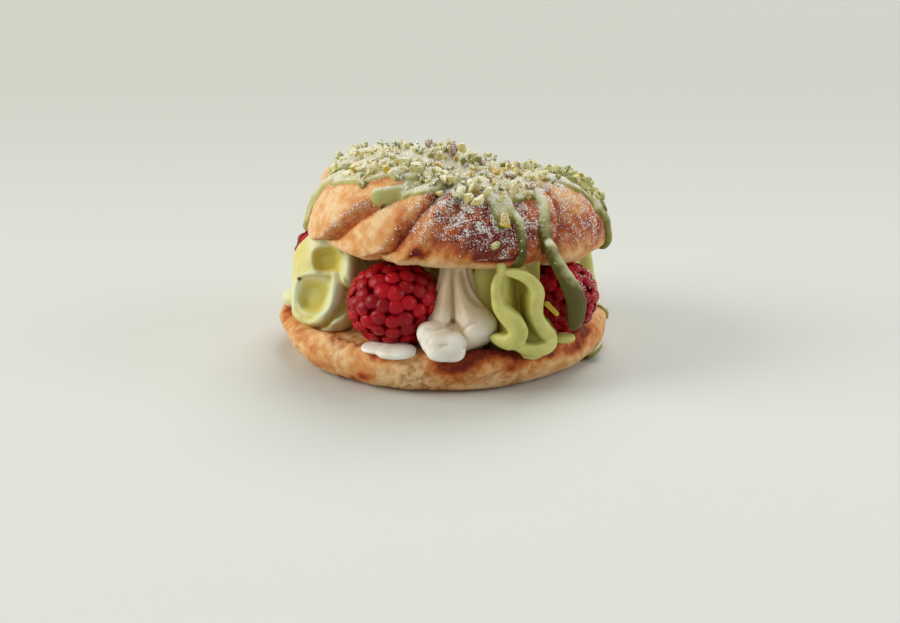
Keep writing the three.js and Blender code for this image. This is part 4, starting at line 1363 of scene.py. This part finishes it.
# %% Cream materials
def cream_finish(name, light, deep, glow, soft=0.3):
    finish = Finish(name, 0.4, Specular_IOR_Level=0.4)
    # Painted shade: concave spots take the deep colour, and raised ones the light colour.
    painted_hollow_shade = finish.step(finish.node("ShaderNodeNewGeometry").outputs["Pointiness"], 0.42, 0.52)
    colour = finish.mix(painted_hollow_shade, deep, light)
    # Painted shade: the marked hollows between the folds take the deep colour.
    colour = finish.mix(finish.times(finish.mark("painted_hollow_shade"), 0.8), colour, deep)
    tint = finish.step(finish.noise(5, 3), 0.4, 0.65, 0, 0.3)
    finish.set("Base Color", finish.mix(tint, colour, deep))
    finish.glow(soft, *glow)
    finish.bump((finish.noise(1.6, 3), 0.06), (finish.noise(0.3, 3), 0.02))
    return finish.material


cream_materials = {
    "pistachio": cream_finish("pistachio_cream", "cfcd7a", "a3952f", (2.2, 2.4, 0.6)),
    # Painted light: the rosette on the left faces the window light, so its pistachio cream is painted lighter
    # and lets more light soak in.
    "lit_pistachio": cream_finish("lit_pistachio_cream", "dde3bf", "dccd58", (2.4, 2.6, 1.7), 0.7),
    "white": cream_finish("white_cream", "f7f5ec", "bfa276", (2.4, 2.2, 1.8)),
}
for name, cream in creams.items():
    look = "lit_pistachio" if name == "pistachio_cream_left" else name.split("_")[0]
    dress(cream_materials[look], cream)

# %% [markdown]
# ## Chopped pistachios
# The nuts were chopped by hand, so the pieces are angular and of every size, yellow, green, and
# brown where some skin stayed on. Each chip is the hull of a few scattered points. One round of
# subdivision and smoothing takes the sharpness off its edges.

# %% A chip
def chip_mesh(corners):
    """The hull of some points, with its edges softened."""
    made = bmesh.new()
    for corner in corners:
        made.verts.new(corner)
    hull = bmesh.ops.convex_hull(made, input=made.verts)
    inner = [v for v in hull["geom_interior"] if isinstance(v, bmesh.types.BMVert)]
    bmesh.ops.delete(made, geom=inner, context="VERTS")
    bmesh.ops.subdivide_edges(made, edges=made.edges, cuts=1, use_grid_fill=True)
    bmesh.ops.triangulate(made, faces=made.faces)
    axes = dict(use_axis_x=True, use_axis_y=True, use_axis_z=True)
    bmesh.ops.smooth_vert(made, verts=made.verts, factor=0.4, **axes)
    return taken_from(made)


# %% [markdown]
# The largest chips lie where the frame has them. The frame placed them with a small generator of
# seeded numbers, so we repeat it here, step by step, and get the same places.

# %% Large chips
LARGE_CHIPS = 46


def dice(seed):
    """The same seeded draw as the frame's."""
    state = float(seed)
    while True:
        state = math.fmod(state * 1103515245 + 12345, 2147483648)
        yield state / 2147483648


def glazed_point(angle, turn):
    """A point on top of the glaze, before the lid leans."""
    return lid_point(angle, turn, 1.0)


def large_chip(k, draw):
    """Corners of an uneven box that lies on the glaze."""
    angle = 360 * (k + 0.8 * next(draw)) / LARGE_CHIPS
    turn, size = 70 + 44 * next(draw), 0.9 + 0.8 * next(draw)
    here, _, _, out = surface_at(glazed_point, angle, turn)
    turned = Euler([2 * math.pi * next(draw) for _ in range(3)])
    corners = []
    for n in range(8):
        corner = np.array([1 if n & 1 else -1, 1 if n & 2 else -1, 1 if n & 4 else -1])
        corner = corner * (0.6 + 0.4 * next(draw)) * [size, 0.7 * size, 0.55 * size]
        corners.append(np.array(turned.to_matrix()) @ corner + here + 0.25 * size * out)
    return np.array(corners)


draw = dice(7)
chips = [chip_mesh(lean(large_chip(k, draw))) for k in range(LARGE_CHIPS)]
print("large chips:", len(chips))

# %% [markdown]
# The small chips were thrown on by the handful. They lie thinly along the crest and thickly in
# heaps, and one ridge on the right stayed nearly bare. A throw is kept or dropped by chance, by how
# thickly the nuts lie there.

# %% Where the small chips lie
# Heaps of chips: angle, turn, half width and half height in degrees, how thick.
HEAPS = [
    [-74, 64, 16, 10, 1.1], [-140, 68, 20, 16, 1], [-2, 56, 11, 26, 1.6], [-104, 80, 14, 12, 0.8],
    [-46, 88, 14, 10, 0.9], [-92, 74, 8, 8, 0.8], [40, 92, 30, 14, 0.8],
]


def nut_share(angle, turn):
    """How thickly the chopped nuts lie."""
    crest = 0.3 * smooth(turn, 56, 72) * (1 - smooth(turn, 112, 132))
    bare_ridge = 1 - 0.97 * bell(around(angle, -38), 12) * (1 - smooth(turn, 92, 110))
    return np.clip(crest + soft_patches(HEAPS, angle, turn), 0, 1) * bare_ridge


def right_heap(angle, turn):
    """The heap that hangs down on the right."""
    return bell(around(angle, 0), 11) * smooth(turn, 34, 50)


def scatter(count, share_of, random, low, high):
    """Places between two turns of the lid, thick where share_of is near 1."""
    places = []
    while len(places) < count:
        angle, turn = random.uniform(-180, 180), random.uniform(low, high)
        if random.uniform() < share_of(np.array(angle), np.array(turn)):
            places.append((angle, turn))
    return places


# %% [markdown]
# A few chips stand out, such as the yellow ones in front and on the right and two brown ones
# behind the crest, so these have places, sizes and tones of their own.

# %% Small chips
SMALL_CHIPS, RIGHT_CHIPS = 720, 110
CHIP_CORNERS = 11
PLACED_GROWTH = 1.35  # the hull of a few points is smaller than the size asked for
# Chips that stand out: angle, turn, half size and tone.
PLACED_CHIPS = [
    [-71.5, 30, 1.8, 0.88], [-75.5, 9, 1.6, 0.2], [-100, 86, 2.3, 0.7], [-86, 50, 1.6, 0.65],
    [-82, 46, 1.7, 0.6], [-89, 57, 1.6, 0.5], [-78, 60, 1.5, 0.7], [-2, 36, 1.7, 0.2], [1, 44, 1.4, 0.88],
    [-112, 78, 1.9, 0.4], [-7, 30, 1.3, 0.15], [-12, 52, 1.4, 0.6], [-132, 70, 1.7, 0.6],
    [-140, 62, 1.6, 0.5], [97, 109, 1.7, 0.97], [95, 103, 1.3, 0.97], [-84, 62, 1.8, 0.5],
    [-95, 66, 1.6, 0.7], [-120, 62, 1.4, 0.55], [-4, 58, 1.7, 0.2], [4, 66, 1.6, 0.88],
    [-66, 70, 1.7, 0.7], [10, 52, 1.5, 0.1], [-150, 60, 1.5, 0.7],
]


def small_chip(angle, turn, size, lift, random):
    """Corners of a chip, lifted out of the glaze by a share of its size."""
    here, _, _, out = surface_at(glazed_point, angle, turn)
    spread = power(unit(random.normal(0, 1, (CHIP_CORNERS, 3))), 0.6)
    corners = spread * random.uniform(0.8, 1.15, (CHIP_CORNERS, 1)) * [size, 0.75 * size, 0.6 * size]
    turned = np.array(Euler(random.uniform(0, 6.28, 3)).to_matrix())
    return here + lift * size * out + corners @ turned.T


random = np.random.default_rng(5)
places = scatter(SMALL_CHIPS, nut_share, random, 40, 140) + scatter(RIGHT_CHIPS, right_heap, random, 32, 84)
for angle, turn in places:
    size = 0.45 + 1.45 * random.uniform() ** 1.6
    lift = random.uniform(0.2, 0.9)
    chips.append(chip_mesh(lean(small_chip(angle, turn, size, lift, random))))
for angle, turn, size, _ in PLACED_CHIPS:
    chips.append(chip_mesh(lean(small_chip(angle, turn, PLACED_GROWTH * size, 0.5, random))))
print("chips:", len(chips))

# %% [markdown]
# All the chips become one mesh with flat faces. A little noise roughens them, and a number on each
# chip picks its colour in the material. Those in the heap on the right are greener.

# %% Chopped nuts
HIGHEST = 51.6  # no chip reaches above this
chopped_nuts = add_piece("chopped_pistachios", join(chips))
points = points_of(chopped_nuts)
points += normals_of(chopped_nuts) * (0.12 * clouds(points, 0.5))[:, None]
points[:, 2] = np.minimum(points[:, 2], HIGHEST)
move_points(chopped_nuts, points)
tones = random.uniform(0, 1, len(chips))
tones[-RIGHT_CHIPS - len(PLACED_CHIPS):] *= 0.45
tones[-len(PLACED_CHIPS):] = [tone for *_, tone in PLACED_CHIPS]
mark(chopped_nuts, "tone", np.repeat(tones, [len(chip[0]) for chip in chips]))
mark(chopped_nuts, "dust", 1 - 0.8 * smooth(points[:, 0], 21, 27))
chopped_nuts.data.shade_flat()
print("chopped nuts:", len(chips), "pieces,", len(chopped_nuts.data.polygons), "faces")

# %% [markdown]
# Inside, a pistachio is pale green or yellow, and its skin is brown. The tone of a chip runs
# through these colours in turn. Sugar whitens the sides that face up.

# %% Nut material
def nut_finish(name):
    finish = Finish(name, 0.6, Specular_IOR_Level=0.35)
    tone = finish.mark("tone")
    nut = finish.mix(finish.step(tone, 0.08, 0.3), "7d8436", "c2bd72")
    nut = finish.mix(finish.step(tone, 0.4, 0.7), nut, "dfd38c")
    nut = finish.mix(finish.step(tone, 0.8, 0.84), nut, "d2b23c")
    nut = finish.mix(finish.step(tone, 0.94, 0.96), nut, "8a6244")
    nut = finish.mix(finish.step(finish.noise(0.7, 4), 0.52, 0.72, 0, 0.3), nut, "8a8640")
    grains = finish.step(finish.noise(0.34, 2), 0.43, 0.55)
    dusted = finish.times(finish.step(finish.upward(), -0.2, 0.5, 0, 0.92), finish.mark("dust"), grains)
    finish.set("Base Color", finish.mix(dusted, nut, "f1efe9"))
    finish.glow(0.1, 0.8, 0.8, 0.3)
    finish.bump((finish.noise(0.35, 4), 0.08))
    return finish.material


nut_material = nut_finish("chopped_pistachio")
dress(nut_material, chopped_nuts)

# %% [markdown]
# A yellow sliver of nut is stuck in the green rosette on the right, and a crumb on the left one.
# Both are chips too: the sliver is the hull of a long wedge, and the crumb is nearly round.

# %% Bits on the creams
SLIVER = dict(at=[25.2, -30.6, 19.0], way=[0.7, -0.3, -0.62], length=2.3, width=0.9)
CRUMB_AT, CRUMB_SIZE = [-34.3, -14.6, 21.2], 0.7
SLIVER_TONE, CRUMB_TONE = 0.86, 0.97


def sliver_mesh(at, way, length, width):
    ahead = unit(np.array(way))
    side = unit(np.cross([0, 0, 1], ahead))
    face = np.cross(ahead, side)
    corners = [
        np.array(at) + a * length * ahead + b * width * (0.5 if a > 0 else 1) * side + c * width * face
        for a in (-1, 1) for b in (-1, 1) for c in (-0.5, 0.5)
    ]
    return chip_mesh(corners)


crumb = CRUMB_AT + CRUMB_SIZE * unit(random.normal(0, 1, (9, 3)))
bits = [sliver_mesh(**SLIVER), chip_mesh(crumb)]
cream_bits = add_piece("pistachio_bits", join(bits))
mark(cream_bits, "tone", np.repeat([SLIVER_TONE, CRUMB_TONE], [len(bit[0]) for bit in bits]))
mark(cream_bits, "dust", np.zeros(len(cream_bits.data.vertices)))
cream_bits.data.shade_flat()
dress(nut_material, cream_bits)

# %% [markdown]
# ## Sugar grains
# Icing sugar clumps into grains about a quarter of a millimetre across. They lie on the crust, the
# glaze, the nuts and one side of a raspberry, thickest where the dust fell. We pick points of each
# piece's own mesh by chance, with a weight for how much dust lies there.

# %% Where the sugar lies
def place_on_lid(points):
    """About which angle and turn of the upper ring points are at."""
    x, y, z = ((points - LID_PLACE) @ LID_TURN).T
    half, middle = (LID_RADIUS - LID_HOLE) / 2, (LID_RADIUS + LID_HOLE) / 2
    turn = np.arctan2((z - LID_WAIST) / (LID_HEIGHT - LID_WAIST), (np.hypot(x, y) - middle) / half)
    return np.degrees(np.arctan2(y, x)), np.degrees(turn)


def lid_dust(points):
    return dust_share(*place_on_lid(points)) ** 1.5


def bare_dust(points):
    """The dust on the crust, where no glaze covers it."""
    angle, turn = place_on_lid(points)
    return lid_dust(points) * (1 - smooth(turn - glaze_edge(angle), 0, 8))


def top_dust(points):
    """What caught on the tops of the ridges and on the fold."""
    return tops_sugar


def berry_dust(points):
    return smooth(points[:, 0], 27, 33) * smooth(points[:, 2], 18, 22)


def sprinkle(piece, count, share_of, random):
    """Places on a piece's skin, in clumps, thick where share_of is near 1."""
    points, out = points_of(piece), normals_of(piece)
    clumps = np.clip(0.4 + 1.8 * clouds(points, 1.8, 1), 0.01, 1)
    weight = share_of(points) * smooth(out[:, 2], -0.6, 0.5) * clumps
    chosen = random.choice(len(points), count, p=weight / weight.sum())
    return points[chosen] + np.cross(out[chosen], random.normal(0, 0.2, (count, 3)))


# %% [markdown]
# Each grain is a tiny uneven tetrahedron, the smallest solid there is, so thousands of them cost
# little. They are spun by a few hundred random turns and joined into one mesh.

# %% Grains
TETRAHEDRON = np.array([[1, 1, 1], [1, -1, -1], [-1, 1, -1], [-1, -1, 1]]) / 1.3
TETRAHEDRON_FACES = np.array([[0, 1, 2], [0, 3, 1], [0, 2, 3], [1, 3, 2]])
SPINS = 200
random = np.random.default_rng(3)
middles = np.vstack([sprinkle(piece, count, share_of, random) for piece, count, share_of in (
    (choux_lid, 12500, bare_dust),
    (choux_lid, 360, top_dust),
    (glaze, 6000, lid_dust),
    (chopped_nuts, 3600, lid_dust),
    (raspberries["raspberry_right"], 300, berry_dust),
)])
size = 0.05 + 0.17 * random.uniform(0, 1, (len(middles), 1, 1)) ** 2.4
size = size * random.uniform(0.6, 1.4, (len(middles), 4, 1))
spin = np.array([Euler(turns).to_matrix() for turns in random.uniform(0, 6.28, (SPINS, 3))])
spun = np.einsum("nij,kj->nki", spin, TETRAHEDRON)[np.arange(len(middles)) % SPINS]
corners = middles[:, None] + spun * size
faces = (np.arange(len(middles))[:, None, None] * 4 + TETRAHEDRON_FACES).reshape(-1, 3).tolist()
sugar = add_piece("sugar_grains", (corners.reshape(-1, 3), faces))
sugar.data.shade_flat()
sugar_look = Finish("icing_sugar", 0.7)
sugar_look.set("Base Color", sugar_look.mix(sugar_look.noise(1), "f2eeea", "fbfaf7"))
sugar_look.glow(0.2, 0.3, 0.3, 0.3)
dress(sugar_look.material, sugar)
print("sugar:", len(middles), "grains")

# %% [markdown]
# ## Riding on the frame
# Every piece rides on the one body, and the solids of the frame that it stands for are hidden. The
# glaze, the nuts and the sugar belong to the lid.

# %% Ride and replace
def settle(piece, slot, *nodes):
    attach(piece, "root")
    if nodes:
        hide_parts(*nodes)


settle(choux_base, "crust", "choux_base")
settle(base_glaze, "glazed_crust", "choux_base")
settle(choux_lid, "glazed_crust", "choux_lid")
for piece in (glaze, chopped_nuts, sugar):
    settle(piece, "glazed_crust", "choux_lid")
for name, piece in raspberries.items():
    settle(piece, "raspberry", name)
settle(berry_hairs, "raspberry", *raspberries)
for name, piece in creams.items():
    settle(piece, "white_cream" if name.startswith("white") else "pistachio_cream", name)
settle(cream_bits, "pistachio_cream", "pistachio_cream_right", "pistachio_cream_left")

# %% [markdown]
# ## Floor, light and camera
# The pastry stands on a plain pale floor, painted a little darker behind it, as shade.

# %% Floor
FLOOR = 8.0
CORNERS = ((-1, -1), (1, -1), (1, 1), (-1, 1))
floor_data = bpy.data.meshes.new("floor")
floor_data.from_pydata([(x * FLOOR, y * FLOOR, 0) for x, y in CORNERS], [], [(0, 1, 2, 3)])
floor = add_object("floor", floor_data)
floor_look = Finish("pale_floor", 0.8, Specular_IOR_Level=0.2)
place = floor_look.node("ShaderNodeTexCoord").outputs["Object"]
shade_behind = floor_look.node("ShaderNodeSeparateXYZ", {0: place}).outputs["Y"]
# Painted shade: the floor darkens towards the back.
floor_look.set("Base Color", floor_look.mix(floor_look.step(shade_behind, -0.05, 0.35), "cdcfca", "b9bbb4"))
dress(floor_look.material, floor)

# %% [markdown]
# A large soft light at the left stands in for a window. One above and behind lights the crest, a
# weak one on the right fills the shadows, and the pale world does the rest.

# %% Lights
MIDDLE = (0, 0, 0.02)


def soft_light(name, place, size, power_w, colour):
    """A square light that shines on the pastry."""
    data = bpy.data.lights.new(name, "AREA")
    data.shape, data.size, data.energy, data.color = "SQUARE", size, power_w, paint(colour)[:3]
    light = add_object(name, data)
    light.location = place
    light.rotation_euler = (Vector(MIDDLE) - Vector(place)).to_track_quat("-Z", "Y").to_euler()


soft_light("window_light", (-2.3, -0.3, 1.3), 1.8, 52, "fffaf2")
soft_light("sky_light", (0.6, 1.7, 2.3), 2, 56, "fbfbf8")
soft_light("right_light", (2.2, -0.2, 1.0), 1.4, 16, "fbfbff")
world = bpy.data.worlds.new("studio")
bpy.context.scene.world = world
world.use_nodes = True
world.node_tree.nodes["Background"].inputs[0].default_value = paint("eef0ea")
world.node_tree.nodes["Background"].inputs[1].default_value = 0.46
bpy.context.scene.view_settings.view_transform = "Standard"

# %% [markdown]
# The camera looks slightly down on the front, from half a metre away. Its lens is worked out from
# how many pixels a metre should take up in the image.

# %% Camera
DISTANCE, ELEVATION, PIXELS_A_METRE = 0.520, VIEW_SLOPE, 4050.0
IMAGE_WIDTH, SENSOR = 900, 36
AIM_RIGHT, AIM_UP = 5, 31.5  # pixels from the origin to the middle of the image
lens = bpy.data.cameras.new("camera")
lens.sensor_width = SENSOR
lens.lens = SENSOR * PIXELS_A_METRE * DISTANCE / IMAGE_WIDTH
lens.clip_start = 0.01
camera = add_object("camera", lens)
aim = Vector((AIM_RIGHT / PIXELS_A_METRE, 0, AIM_UP / PIXELS_A_METRE / math.cos(ELEVATION)))
back = Vector((0, -math.cos(ELEVATION), math.sin(ELEVATION)))
camera.location = aim + back * DISTANCE
camera.rotation_euler = (-back).to_track_quat("-Z", "Y").to_euler()
bpy.context.scene.camera = camera
print("focal length:", round(lens.lens, 1), "mm")
